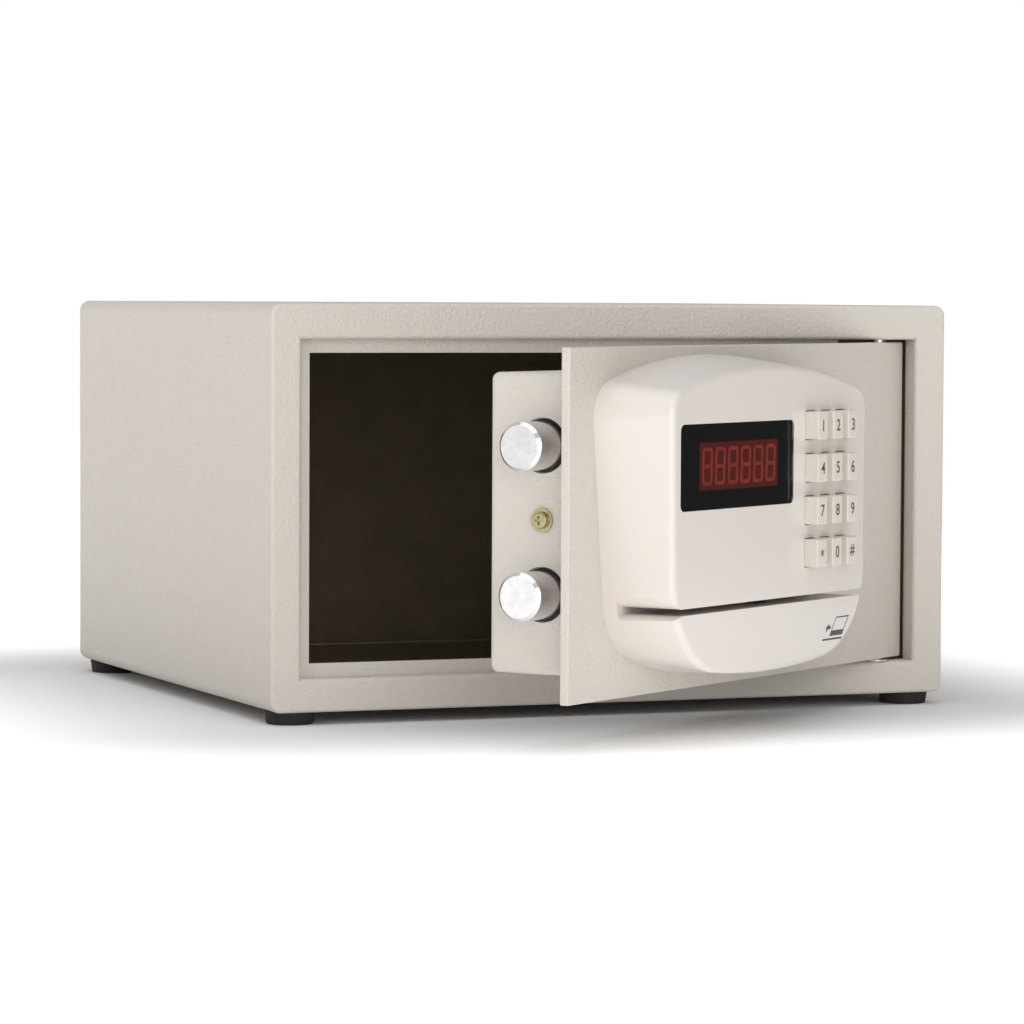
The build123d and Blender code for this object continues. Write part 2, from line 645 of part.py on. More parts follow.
with BuildPart() as reader_housing:
    add(housing_form(0, HOUSING_DEPTH))
    fillet(reader_housing.faces().sort_by(Axis.Y)[0].edges(), HOUSING_EDGE_RADIUS)
    add(groove_cut(GROOVE_BOTTOM, -1, READER_EDGE_HALF), mode=Mode.SUBTRACT)
    add(block(-FAR, FAR, GROOVE_HEIGHT, FAR, 0, GROOVE_FLOOR), mode=Mode.SUBTRACT)
    hollow = housing_form(0, INNER_FACE, HOUSING_WALL)
    hollow -= block(-FAR, FAR, GROOVE_BOTTOM - HOUSING_WALL, FAR, 0, HOUSING_DEPTH)
    add(hollow, mode=Mode.SUBTRACT)
    with BuildSketch(door_front(0)):
        with Locations(*PILLARS[4:]):
            Circle(PILLAR_RADIUS)
    extrude(amount=INNER_FACE + FUSE_OVERLAP)
    with BuildSketch(door_front(0)):
        with Locations(*PILLARS[4:]):
            Circle(SCREW_RADIUS)
    extrude(amount=PILLAR_HOLE, mode=Mode.SUBTRACT)
    with BuildSketch(door_front(HEAD_LOW - HEAD_PLAY)):
        with Locations((HEAD_X, GROOVE_BOTTOM)):
            Rectangle(HEAD_WIDTH + 2 * HEAD_PLAY, 2 * (HOUSING_WALL + 1))
    extrude(amount=HEAD_LENGTH + 2 * HEAD_PLAY, mode=Mode.SUBTRACT)
save_on_door(reader_housing, "reader_housing")

with BuildPart() as read_head:
    with BuildSketch(door_front(HEAD_LOW)):
        with Locations((HEAD_X, GROOVE_BOTTOM + HEAD_PROUD)):
            RectangleRounded(HEAD_WIDTH, HEAD_HEIGHT, HEAD_CORNER, align=(Align.CENTER, Align.MAX))
    extrude(amount=HEAD_LENGTH)
    with BuildSketch(door_front(HEAD_LOW - HEAD_SEAT_MARGIN)):
        with Locations((HEAD_X, GROOVE_BOTTOM - HOUSING_WALL)):
            Rectangle(HEAD_WIDTH + 2 * HEAD_SEAT_WING, HEAD_SEAT_THICKNESS,
                      align=(Align.CENTER, Align.MAX))
    extrude(amount=HEAD_LENGTH + 2 * HEAD_SEAT_MARGIN)
save_on_door(read_head, "read_head")

# ---------------------------------------------------------------- display
with BuildPart() as display_window:
    with BuildSketch(door_front(INNER_FACE - WINDOW_FLANGE_THICKNESS)):
        with Locations((WINDOW_X, WINDOW_CENTRE_Z)):
            RectangleRounded(WINDOW_WIDTH + 2 * WINDOW_FLANGE, WINDOW_HEIGHT + 2 * WINDOW_FLANGE,
                             WINDOW_RADIUS)
    extrude(amount=WINDOW_FLANGE_THICKNESS)
    with BuildSketch(door_front(INNER_FACE)):
        with Locations((WINDOW_X, WINDOW_CENTRE_Z)):
            RectangleRounded(WINDOW_WIDTH - 2 * WINDOW_PLAY, WINDOW_HEIGHT - 2 * WINDOW_PLAY,
                             WINDOW_RADIUS - WINDOW_PLAY)
    extrude(amount=HOUSING_WALL - WINDOW_RECESS)
save_on_door(display_window, "display_window")

with BuildPart() as led_display:
    with BuildSketch(door_front(BOARD_TOP)):
        with Locations((WINDOW_X, WINDOW_CENTRE_Z)):
            Rectangle(WINDOW_WIDTH + 2 * DISPLAY_MARGIN, WINDOW_HEIGHT + 2 * DISPLAY_MARGIN)
    extrude(amount=INNER_FACE - WINDOW_FLANGE_THICKNESS - DISPLAY_GAP - BOARD_TOP)
save_on_door(led_display, "led_display")

# ---------------------------------------------------------------- keypad
# parts under the board: place along from the housing's middle, height, width and height
BOARD_CHIPS = ((-30.0, 100.0, 22.0, 14.0), (5.0, 100.0, 14.0, 10.0))
CHIP_THICKNESS = 2.5

with BuildPart() as keypad_board:
    with BuildSketch(door_front(BOARD_LEVEL)):
        with Locations(((BOARD_LEFT + BOARD_RIGHT) / 2, (BOARD_LOW + BOARD_HIGH) / 2)):
            Rectangle(BOARD_RIGHT - BOARD_LEFT, BOARD_HIGH - BOARD_LOW)
        with Locations(*BOARD_POSTS):
            Circle(BOARD_SCREW_RADIUS, mode=Mode.SUBTRACT)
    extrude(amount=BOARD_THICKNESS)
    with BuildSketch(door_front(BOARD_LEVEL)):
        for across, level, chip_width, chip_height in BOARD_CHIPS:
            with Locations((HOUSING_X + across, level)):
                Rectangle(chip_width, chip_height)
    extrude(amount=-CHIP_THICKNESS)
save_on_door(keypad_board, "keypad_board")

MAT_THICKNESS = 1.0
DOME_HEIGHT = 1.8
DOME_RADIUS = 4.0
DOME_TAPER = 20
MAT_CORNER = 2.0
MAT_MARGIN_X = 0.5
MAT_MARGIN_Z = -1.5
with BuildPart() as key_mat:
    with BuildSketch(door_front(BOARD_TOP)):
        with Locations((KEYPAD_X, KEYPAD_CENTRE_Z)):
            RectangleRounded(3 * KEY_PITCH_X + 2 * MAT_MARGIN_X, 4 * KEY_PITCH_Z + 2 * MAT_MARGIN_Z,
                             MAT_CORNER)
    extrude(amount=MAT_THICKNESS)
    with BuildSketch(door_front(BOARD_TOP + MAT_THICKNESS)):
        with Locations(*KEY_SPOTS):
            Circle(DOME_RADIUS)
    extrude(amount=DOME_HEIGHT, taper=DOME_TAPER)
save_on_door(key_mat, "key_mat")

KEY_FOOT = BOARD_TOP + MAT_THICKNESS + DOME_HEIGHT + KEY_TRAVEL + KEY_FOOT_GAP
FLANGE_THICKNESS = 1.2
FLANGE_TOP = INNER_FACE - KEY_FLANGE_PLAY

for name, spot in zip(KEY_NAMES, KEY_SPOTS):
    with BuildPart() as key:
        with BuildSketch(door_front(KEY_FOOT)):
            with Locations(spot):
                RectangleRounded(KEY_WIDTH, KEY_HEIGHT, KEY_CORNER)
        extrude(amount=HOUSING_DEPTH + KEY_PROUD - KEY_FOOT)
        fillet(key.faces().sort_by(Axis.Y)[0].edges(), KEY_EDGE_RADIUS)
        with BuildSketch(door_front(FLANGE_TOP - FLANGE_THICKNESS)):
            with Locations(spot):
                RectangleRounded(KEY_HOLE_WIDTH + 2 * KEY_FLANGE, KEY_HOLE_HEIGHT + 2 * KEY_FLANGE,
                                 KEY_HOLE_CORNER)
        extrude(amount=FLANGE_THICKNESS)
    save_on_door(key, f"key_{name}")

# ================================================================ boltwork
BOLT_LINE = FRONT + DOOR_BACK + BOLT_OFFSET
CHASSIS_HEIGHT = 138.0
PILLAR_CLEARANCE_RADIUS = 4.6
GUIDE_HEIGHT = 122.0
GUIDE_DEPTH = 40.0
REAR_GUIDE_FROM_PINION = 34.0
REAR_GUIDE_HEIGHT = 28.0
REAR_GUIDE_DEPTH = 30.0
REAR_GUIDE_BELOW_RACK = 2.0
TAB_HEIGHT = 40.0
TAB_DEPTH = 30.0
BRIDGE_WIDTH = 36.0
BRIDGE_LENGTH = 42.0
BRIDGE_ABOVE_PINION = 28.0
SHAFT_CLEARANCE = 1.0
HOLDER_LEVEL = 28.0
HOLDER_POST_X = 54.0
HOLDER_POST_Z = 44.0
HOLDER_POST_RADIUS = 3.0
COVER_SCREW_RADIUS = 2.0
RACK_SLOT_CLEARANCE = 1.4
RACK_SLOT_LENGTH = 8.0
RACK_SLOT_PLAY = 0.4

with BuildPart() as bolt_chassis:
    with BuildSketch(door_back(0)):
        with Locations((-(CHASSIS_LEFT + CHASSIS_RIGHT) / 2, BOLT_MIDDLE)):
            Rectangle(CHASSIS_RIGHT - CHASSIS_LEFT, CHASSIS_HEIGHT)
        with Locations(*[(-x, z) for x, z in PILLARS]):
            Circle(PILLAR_CLEARANCE_RADIUS, mode=Mode.SUBTRACT)
        with Locations((-CABLE_HOLE[0], CABLE_HOLE[1])):
            Circle(CABLE_HOLE_RADIUS, mode=Mode.SUBTRACT)
    extrude(amount=CHASSIS_SHEET)
    # front guide, which carries the bolt bushes and takes the cover's screw
    with BuildSketch(door_back(0)):
        with Locations((-CHASSIS_LEFT, BOLT_MIDDLE)):
            Rectangle(GUIDE_THICKNESS, GUIDE_HEIGHT, align=(Align.MAX, Align.CENTER))
    extrude(amount=GUIDE_DEPTH)
    # rear guide for the rack bar
    with BuildSketch(door_back(0)):
        with Locations((-(PINION_X + REAR_GUIDE_FROM_PINION), RACK_LINE - REAR_GUIDE_BELOW_RACK)):
            Rectangle(CHASSIS_SHEET, REAR_GUIDE_HEIGHT)
    extrude(amount=REAR_GUIDE_DEPTH)
    # tab at the hinge end for the cover's second screw
    with BuildSketch(door_back(0)):
        with Locations((-CHASSIS_RIGHT, BOLT_MIDDLE)):
            Rectangle(CHASSIS_SHEET, TAB_HEIGHT, align=(Align.MIN, Align.CENTER))
    extrude(amount=TAB_DEPTH)
    # bridge over the pinion, which carries the gear motor
    with BuildSketch(door_back(CHASSIS_SHEET)):
        with Locations((-PINION_X, PINION_Z + BRIDGE_ABOVE_PINION - CHASSIS_SHEET / 2)):
            Rectangle(BRIDGE_WIDTH, CHASSIS_SHEET)
    extrude(amount=BRIDGE_LEVEL - CHASSIS_SHEET)
    with BuildSketch(door_back(BRIDGE_LEVEL)):
        with Locations((-PINION_X, PINION_Z + BRIDGE_ABOVE_PINION)):
            Rectangle(BRIDGE_WIDTH, BRIDGE_LENGTH, align=(Align.CENTER, Align.MAX))
        with Locations((-PINION_X, PINION_Z)):
            Circle(SHAFT_RADIUS + SHAFT_CLEARANCE, mode=Mode.SUBTRACT)
    extrude(amount=CHASSIS_SHEET)
    # posts under the battery holder
    with BuildSketch(door_back(0)):
        with Locations((-BATTERY_X, BATTERY_Z)):
            with GridLocations(HOLDER_POST_X, HOLDER_POST_Z, 2, 2):
                Circle(HOLDER_POST_RADIUS)
    extrude(amount=HOLDER_LEVEL)
    # holes across the guides
    with BuildSketch(side_plane(CHASSIS_LEFT)):
        with Locations(*[(BOLT_LINE, z) for z in BOLT_LEVELS]):
            Circle(BOLT_RADIUS + BUSH_WALL)
        with Locations((BOLT_LINE, BOLT_MIDDLE)):
            Circle(COVER_SCREW_RADIUS)
    extrude(amount=GUIDE_THICKNESS, mode=Mode.SUBTRACT)
    with BuildSketch(side_plane(CHASSIS_RIGHT)):
        with Locations((BOLT_LINE, BOLT_MIDDLE)):
            Circle(COVER_SCREW_RADIUS)
    extrude(amount=-CHASSIS_SHEET, mode=Mode.SUBTRACT)
    rack_height = RACK_LINE - RACK_DEDENDUM - RACK_BOTTOM
    with BuildSketch(side_plane(PINION_X + REAR_GUIDE_FROM_PINION - RACK_SLOT_LENGTH / 2)):
        with Locations((BOLT_LINE, RACK_BOTTOM + rack_height / 2)):
            Rectangle(GEAR_WIDTH + 2 * RACK_SLOT_CLEARANCE, rack_height + 2 * RACK_SLOT_PLAY)
    extrude(amount=RACK_SLOT_LENGTH, mode=Mode.SUBTRACT)
save_on_door(bolt_chassis, "bolt_chassis")


def bolt_bush(level):
    """A dark plastic sleeve in the front guide, in which a bolt slides."""
    with BuildPart() as bush:
        with BuildSketch(side_plane(CHASSIS_LEFT)):
            with Locations((BOLT_LINE, level)):
                Circle(BOLT_RADIUS + BUSH_WALL)
                Circle(BOLT_RADIUS + BUSH_CLEARANCE, mode=Mode.SUBTRACT)
        extrude(amount=GUIDE_THICKNESS)
        with BuildSketch(side_plane(CHASSIS_LEFT + GUIDE_THICKNESS)):
            with Locations((BOLT_LINE, level)):
                Circle(BOLT_RADIUS + BUSH_WALL + BUSH_FLANGE)
                Circle(BOLT_RADIUS + BUSH_CLEARANCE, mode=Mode.SUBTRACT)
        extrude(amount=BUSH_FLANGE)
    return bush


def lock_bolt(level):
    """A round bolt with a chamfered end."""
    with BuildPart() as bolt:
        with BuildSketch(side_plane(BOLT_TIP)):
            with Locations((BOLT_LINE, level)):
                Circle(BOLT_RADIUS)
        extrude(amount=BOLT_LENGTH)
        chamfer(bolt.edges().group_by(Axis.X)[0], BOLT_CHAMFER)
        with BuildSketch(side_plane(CARRIAGE_LEFT)):
            with Locations((BOLT_LINE, level)):
                Circle(BOLT_SCREW_RADIUS)
        extrude(amount=-BOLT_SCREW_HOLE, mode=Mode.SUBTRACT)
    return bolt


save_on_door(bolt_bush(BOLT_LEVELS[0]), "upper_bolt_bush")
save_on_door(bolt_bush(BOLT_LEVELS[1]), "lower_bolt_bush")
save_on_door(lock_bolt(BOLT_LEVELS[0]), "upper_bolt")
save_on_door(lock_bolt(BOLT_LEVELS[1]), "lower_bolt")

# ---------------------------------------------------------------- carriage and rack
TOOTH_PITCH = pi * MODULE
HALF_TOOTH = TOOTH_PITCH / 4 - BACKLASH
LEAN = tan(radians(PRESSURE_ANGLE))
TIP_HALF = HALF_TOOTH - RACK_ADDENDUM * LEAN
ROOT_HALF = HALF_TOOTH + RACK_DEDENDUM * LEAN
RACK_TEETH = [PINION_X + i * TOOTH_PITCH for i in range(-6, 2)]
RACK_PAST_PINION = 46.0
RACK_RIGHT = PINION_X + RACK_PAST_PINION
RACK_EXTRA_WIDTH = 0.5

with BuildPart() as bolt_carriage:
    with BuildSketch(side_plane(CARRIAGE_LEFT)):
        with Locations((BOLT_LINE, BOLT_MIDDLE)):
            RectangleRounded(CARRIAGE_WIDTH, BOLT_PITCH + CARRIAGE_WIDTH, CARRIAGE_CORNER)
        with Locations(*[(BOLT_LINE, z) for z in BOLT_LEVELS]):
            Circle(BOLT_SCREW_RADIUS, mode=Mode.SUBTRACT)
    extrude(amount=CARRIAGE_THICKNESS)
    with BuildSketch(door_back(BOLT_OFFSET - GEAR_WIDTH / 2 - RACK_EXTRA_WIDTH)):
        with Locations((-RACK_RIGHT, RACK_BOTTOM)):
            Rectangle(RACK_RIGHT - CARRIAGE_LEFT - CARRIAGE_THICKNESS,
                      RACK_LINE - RACK_DEDENDUM - RACK_BOTTOM, align=(Align.MIN, Align.MIN))
        for middle in RACK_TEETH:
            with BuildLine():
                Polyline((-middle - ROOT_HALF, RACK_LINE - RACK_DEDENDUM),
                         (-middle - TIP_HALF, RACK_LINE + RACK_ADDENDUM),
                         (-middle + TIP_HALF, RACK_LINE + RACK_ADDENDUM),
                         (-middle + ROOT_HALF, RACK_LINE - RACK_DEDENDUM), close=True)
            make_face()
    extrude(amount=GEAR_WIDTH + 2 * RACK_EXTRA_WIDTH)
save_on_door(bolt_carriage, "bolt_carriage")

with BuildPart() as bolt_screws:
    with BuildSketch(side_plane(CARRIAGE_LEFT + CARRIAGE_THICKNESS)):
        with Locations(*[(BOLT_LINE, z) for z in BOLT_LEVELS]):
            RegularPolygon(BOLT_SCREW_HEAD_RADIUS, 6)
    extrude(amount=BOLT_SCREW_HEAD)
    with BuildSketch(side_plane(CARRIAGE_LEFT + CARRIAGE_THICKNESS)):
        with Locations(*[(BOLT_LINE, z) for z in BOLT_LEVELS]):
            Circle(BOLT_SCREW_RADIUS)
    extrude(amount=-(CARRIAGE_THICKNESS + BOLT_SCREW_GRIP))
save_on_door(bolt_screws, "bolt_screws")

# ---------------------------------------------------------------- pinion
BASE_RADIUS = PITCH_RADIUS * cos(radians(PRESSURE_ANGLE))
TIP_RADIUS = PITCH_RADIUS + RACK_ADDENDUM
ROOT_RADIUS = PITCH_RADIUS - RACK_DEDENDUM
TOOTH_OVERLAP = 0.7
TOOTH_FOOT = ROOT_RADIUS - TOOTH_OVERLAP
SHAFT_BELOW_GEAR = 3.0
SHAFT_IN_MOTOR = 6.0
SHAFT_START = BOLT_OFFSET - GEAR_WIDTH / 2 - SHAFT_BELOW_GEAR
SHAFT_END = BRIDGE_LEVEL + CHASSIS_SHEET + SHAFT_IN_MOTOR


def involute(radius):
    """The involute's polar angle at a radius, from its start on the base circle."""
    roll = acos(min(1.0, BASE_RADIUS / radius))
    return tan(roll) - roll


def flank(radius, side):
    """A point on a tooth's flank, for a tooth that points along +Y about the origin."""
    half = HALF_TOOTH / PITCH_RADIUS + involute(PITCH_RADIUS) - involute(radius)
    return (side * radius * sin(half), radius * cos(half))


with BuildSketch() as pinion_tooth:
    with BuildLine():
        middle_radius = (BASE_RADIUS + TIP_RADIUS) / 2
        for side in (-1, 1):
            Line(flank(BASE_RADIUS, side), (flank(BASE_RADIUS, side)[0], TOOTH_FOOT))
            ThreePointArc(flank(BASE_RADIUS, side), flank(middle_radius, side),
                          flank(TIP_RADIUS, side))
        Line(flank(TIP_RADIUS, -1), flank(TIP_RADIUS, 1))
        Line((flank(BASE_RADIUS, -1)[0], TOOTH_FOOT), (flank(BASE_RADIUS, 1)[0], TOOTH_FOOT))
    make_face()

with BuildPart() as drive_pinion:
    with BuildSketch(door_back(BOLT_OFFSET - GEAR_WIDTH / 2)):
        with Locations((-PINION_X, PINION_Z)):
            Circle(ROOT_RADIUS)
            with PolarLocations(0, PINION_TEETH, start_angle=180 / PINION_TEETH):
                add(pinion_tooth.sketch)
    extrude(amount=GEAR_WIDTH)
    with BuildSketch(door_back(SHAFT_START)):
        with Locations((-PINION_X, PINION_Z)):
            Circle(SHAFT_RADIUS)
    extrude(amount=SHAFT_END - SHAFT_START)
save_on_door(drive_pinion, "drive_pinion")

GEARBOX_WIDTH = 28.0
GEARBOX_HEIGHT = 38.0
GEARBOX_DEPTH = 18.0
GEARBOX_CORNER = 2.0
GEARBOX_RISE = 7.0
MOTOR_RADIUS = 8.5
MOTOR_LENGTH = 27.0
MOTOR_LEVEL = BRIDGE_LEVEL + CHASSIS_SHEET
GEARBOX_TOP = PINION_Z + GEARBOX_RISE + GEARBOX_HEIGHT / 2

with BuildPart() as gear_motor:
    with BuildSketch(door_back(MOTOR_LEVEL)):
        with Locations((-PINION_X, PINION_Z + GEARBOX_RISE)):
            RectangleRounded(GEARBOX_WIDTH, GEARBOX_HEIGHT, GEARBOX_CORNER)
    extrude(amount=GEARBOX_DEPTH)
    with BuildSketch(Plane.XY.offset(GEARBOX_TOP)):
        with Locations((PINION_X, FRONT + DOOR_BACK + MOTOR_LEVEL + GEARBOX_DEPTH / 2)):
            Circle(MOTOR_RADIUS)
    extrude(amount=MOTOR_LENGTH)
    with BuildSketch(door_back(MOTOR_LEVEL)):
        with Locations((-PINION_X, PINION_Z)):
            Circle(SHAFT_RADIUS + BUSH_CLEARANCE)
    extrude(amount=SHAFT_IN_MOTOR + FUSE_OVERLAP, mode=Mode.SUBTRACT)
save_on_door(gear_motor, "gear_motor")

# ---------------------------------------------------------------- batteries and board
HOLDER_FLOOR = 2.0
HOLDER_WALL = 2.0
HOLDER_DEPTH = 16.0
CELL_RADIUS = 7.1
CELL_LENGTH = 49.0
CELL_PITCH = 15.4
HOLDER_WIDTH = 66.0
HOLDER_HEIGHT = 58.0
CELL_GAP = 0.2
CELL_CONTACT_RADIUS = 2.7
CELL_CONTACT = 1.2
CELL_BOTTOM = BATTERY_Z - (CELL_LENGTH + CELL_CONTACT) / 2

with BuildPart() as battery_holder:
    with BuildSketch(door_back(HOLDER_LEVEL)):
        with Locations((-BATTERY_X, BATTERY_Z)):
            Rectangle(HOLDER_WIDTH, HOLDER_HEIGHT)
    extrude(amount=HOLDER_DEPTH)
    with BuildSketch(door_back(HOLDER_LEVEL + HOLDER_FLOOR)):
        with Locations((-BATTERY_X, BATTERY_Z)):
            Rectangle(HOLDER_WIDTH - 2 * HOLDER_WALL, HOLDER_HEIGHT - 2 * HOLDER_WALL)
    extrude(amount=HOLDER_DEPTH, mode=Mode.SUBTRACT)
save_on_door(battery_holder, "battery_holder")

with BuildPart() as batteries:
    cell_y = FRONT + DOOR_BACK + HOLDER_LEVEL + HOLDER_FLOOR + CELL_RADIUS + CELL_GAP
    with BuildSketch(Plane.XY.offset(CELL_BOTTOM)):
        with Locations((BATTERY_X, cell_y)):
            with GridLocations(CELL_PITCH, 1, 4, 1):
                Circle(CELL_RADIUS)
    extrude(amount=CELL_LENGTH)
    with BuildSketch(Plane.XY.offset(CELL_BOTTOM + CELL_LENGTH)):
        with Locations((BATTERY_X, cell_y)):
            with GridLocations(CELL_PITCH, 1, 4, 1):
                Circle(CELL_CONTACT_RADIUS)
    extrude(amount=CELL_CONTACT)
save_on_door(batteries, "batteries")

CONTROL_X = BATTERY_X - 4.0
CONTROL_Z = BOLT_MIDDLE - 52.0
CONTROL_WIDTH = 98.0
CONTROL_HEIGHT = 28.0
STANDOFF_RADIUS = 2.5
STANDOFF_HEIGHT = 4.0
STANDOFF_INSET = 4.0
PACKAGE_SIDE = 12.0
PACKAGE_PITCH = 26.0
CONTROL_LEVEL = CHASSIS_SHEET + STANDOFF_HEIGHT

with BuildPart() as control_board:
    with BuildSketch(door_back(CHASSIS_SHEET)):
        with Locations((-CONTROL_X, CONTROL_Z)):
            with GridLocations(CONTROL_WIDTH - 2 * STANDOFF_INSET,
                               CONTROL_HEIGHT - 2 * STANDOFF_INSET, 2, 2):
                Circle(STANDOFF_RADIUS)
    extrude(amount=STANDOFF_HEIGHT)
    with BuildSketch(door_back(CONTROL_LEVEL)):
        with Locations((-CONTROL_X, CONTROL_Z)):
            Rectangle(CONTROL_WIDTH, CONTROL_HEIGHT)
    extrude(amount=BOARD_THICKNESS)
    with BuildSketch(door_back(CONTROL_LEVEL + BOARD_THICKNESS)):
        with Locations((-CONTROL_X, CONTROL_Z)):
            with GridLocations(PACKAGE_PITCH, 1, 3, 1):
                Rectangle(PACKAGE_SIDE, PACKAGE_SIDE)
    extrude(amount=CHIP_THICKNESS)
save_on_door(control_board, "control_board")

# ---------------------------------------------------------------- cover
HATCH_WIDTH = 76.0
HATCH_HEIGHT = 66.0
HATCH_CORNER = 3.0
HATCH_PLAY = 0.4
HATCH_CLIP = 8.0
HATCH_CLIP_THICKNESS = 1.5
HATCH_CLIP_SPACING = 40.0
HATCH_CLIP_REACH = 1.0
PULL_LENGTH = 22.0
PULL_HEIGHT = 6.0
PULL_DEPTH = 0.8
PULL_FROM_EDGE = 9.0

with BuildPart() as bolt_cover:
    with BuildSketch(door_back(0)):
        with Locations((-COVER_X, OPENING_Z)):
            Rectangle(COVER_WIDTH, COVER_HEIGHT)
    extrude(amount=COVER_DEPTH)
    outer_edges = bolt_cover.edges() - bolt_cover.faces().sort_by(Axis.Y)[0].edges()
    fillet(outer_edges, COVER_RADIUS)
    with BuildSketch(door_back(0)):
        with Locations((-COVER_X, OPENING_Z)):
            RectangleRounded(COVER_WIDTH - 2 * SHEET, COVER_HEIGHT - 2 * SHEET,
                             COVER_RADIUS - SHEET)
    extrude(amount=COVER_DEPTH - SHEET, mode=Mode.SUBTRACT)
    with BuildSketch(side_plane(COVER_LEFT)):
        with Locations(*[(BOLT_LINE, z) for z in BOLT_LEVELS]):
            Circle(BOLT_HOLE_RADIUS)
    extrude(amount=SHEET, mode=Mode.SUBTRACT)
    with BuildSketch(side_plane(COVER_LEFT)):
        with Locations((BOLT_LINE, BOLT_MIDDLE)):
            Circle(COVER_SCREW_RADIUS)
    extrude(amount=COVER_WIDTH, mode=Mode.SUBTRACT)
    with BuildSketch(door_back(COVER_DEPTH - SHEET)):
        with Locations((-BATTERY_X, BATTERY_Z)):
            RectangleRounded(HATCH_WIDTH, HATCH_HEIGHT, HATCH_CORNER)
    extrude(amount=SHEET, mode=Mode.SUBTRACT)
save_on_door(bolt_cover, "bolt_cover")

with BuildPart() as battery_door:
    with BuildSketch(door_back(COVER_DEPTH - SHEET)):
        with Locations((-BATTERY_X, BATTERY_Z)):
            RectangleRounded(HATCH_WIDTH - 2 * HATCH_PLAY, HATCH_HEIGHT - 2 * HATCH_PLAY,
                             HATCH_CORNER - HATCH_PLAY)
    extrude(amount=SHEET)
    with BuildSketch(door_back(COVER_DEPTH - SHEET)):
        with Locations((-BATTERY_X, BATTERY_Z)):
            with GridLocations(HATCH_WIDTH + 2 * HATCH_CLIP_REACH, HATCH_CLIP_SPACING, 2, 2):
                Rectangle(HATCH_CLIP, HATCH_CLIP)
    extrude(amount=-HATCH_CLIP_THICKNESS)
    with BuildSketch(door_back(COVER_DEPTH)):
        with Locations((-BATTERY_X, BATTERY_Z - HATCH_HEIGHT / 2 + PULL_FROM_EDGE)):
            SlotOverall(PULL_LENGTH, PULL_HEIGHT)
    extrude(amount=-PULL_DEPTH, mode=Mode.SUBTRACT)
save_on_door(battery_door, "battery_door")


# ---------------------------------------------------------------- screws on the door
SCREW_WASHER_RADIUS = 6.35
SCREW_WASHER = 1.0
SCREW_HEAD_RADIUS = 4.4
SCREW_HEAD = 2.6
SCREW_EDGE = 1.2
FRONT_SCREW_GRIP = 9.0
REAR_SCREW_GRIP = 8.0
HOUSING_SCREW_HEAD_RADIUS = 3.2
HOUSING_SCREW_HEAD = 2.0
HOUSING_SCREW_GRIP = 14.0

def cross_screw(face_x, out, grip):
    """A pan-head screw with a washer, into an end of the cover."""
    middle = (BOLT_LINE, BOLT_MIDDLE)
    steps = ((0.0, SCREW_WASHER_RADIUS, SCREW_WASHER), (SCREW_WASHER, SCREW_HEAD_RADIUS, SCREW_HEAD),
             (0.0, COVER_SCREW_RADIUS, -grip))
    with BuildPart() as screw:
        for start, radius, length in steps:
            with BuildSketch(side_plane(face_x + out * start)):
                with Locations(middle):
                    Circle(radius)
            extrude(amount=out * length)
        outermost = screw.edges().filter_by(GeomType.CIRCLE).group_by(Axis.X)
        fillet(outermost[-1 if out > 0 else 0], SCREW_EDGE)
        with BuildSketch(side_plane(face_x + out * (SCREW_WASHER + SCREW_HEAD))):
            with Locations(middle):
                Rectangle(CROSS_LENGTH, CROSS_WIDTH)
                Rectangle(CROSS_WIDTH, CROSS_LENGTH)
        extrude(amount=-out * CROSS_DEPTH, mode=Mode.SUBTRACT)
    return screw.part


with BuildPart() as cover_screws:
    add(cross_screw(COVER_LEFT, -1, FRONT_SCREW_GRIP))
    add(cross_screw(COVER_RIGHT, 1, REAR_SCREW_GRIP))
save_on_door(cover_screws, "cover_screws")

with BuildPart() as housing_screws:
    with BuildSketch(front_plane(DOOR_BACK)):
        with Locations(*PILLARS):
            Circle(HOUSING_SCREW_HEAD_RADIUS)
    extrude(amount=-HOUSING_SCREW_HEAD)
    with BuildSketch(front_plane(DOOR_BACK)):
        with Locations(*PILLARS):
            Circle(SCREW_RADIUS)
    extrude(amount=DOOR_THICKNESS + HOUSING_SCREW_GRIP)
save_on_door(housing_screws, "housing_screws")
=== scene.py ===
"""Looks of the in-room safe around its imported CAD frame, in metres, +Z up, front towards -Y."""

import json
from math import cos, pi, radians, sin

import bmesh
import bpy
from mathutils import Matrix, Vector, noise


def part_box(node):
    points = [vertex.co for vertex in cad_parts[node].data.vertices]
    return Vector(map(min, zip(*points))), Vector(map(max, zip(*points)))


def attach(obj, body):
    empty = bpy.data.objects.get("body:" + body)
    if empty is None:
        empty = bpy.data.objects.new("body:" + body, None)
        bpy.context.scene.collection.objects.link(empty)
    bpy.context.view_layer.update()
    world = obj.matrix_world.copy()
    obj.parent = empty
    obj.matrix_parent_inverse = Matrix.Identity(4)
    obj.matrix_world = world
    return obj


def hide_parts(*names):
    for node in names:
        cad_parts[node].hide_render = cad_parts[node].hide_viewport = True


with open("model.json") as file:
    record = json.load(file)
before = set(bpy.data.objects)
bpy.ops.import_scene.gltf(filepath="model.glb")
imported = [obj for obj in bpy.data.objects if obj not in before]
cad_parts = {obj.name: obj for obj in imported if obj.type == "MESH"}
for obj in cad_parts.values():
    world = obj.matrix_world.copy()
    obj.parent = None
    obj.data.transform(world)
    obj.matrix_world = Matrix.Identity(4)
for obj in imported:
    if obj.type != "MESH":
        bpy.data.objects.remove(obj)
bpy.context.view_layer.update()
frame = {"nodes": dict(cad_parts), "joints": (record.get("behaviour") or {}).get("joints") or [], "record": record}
nodes = frame["nodes"]
joints = {joint["name"]: joint for joint in frame["joints"]}

MM = 0.001

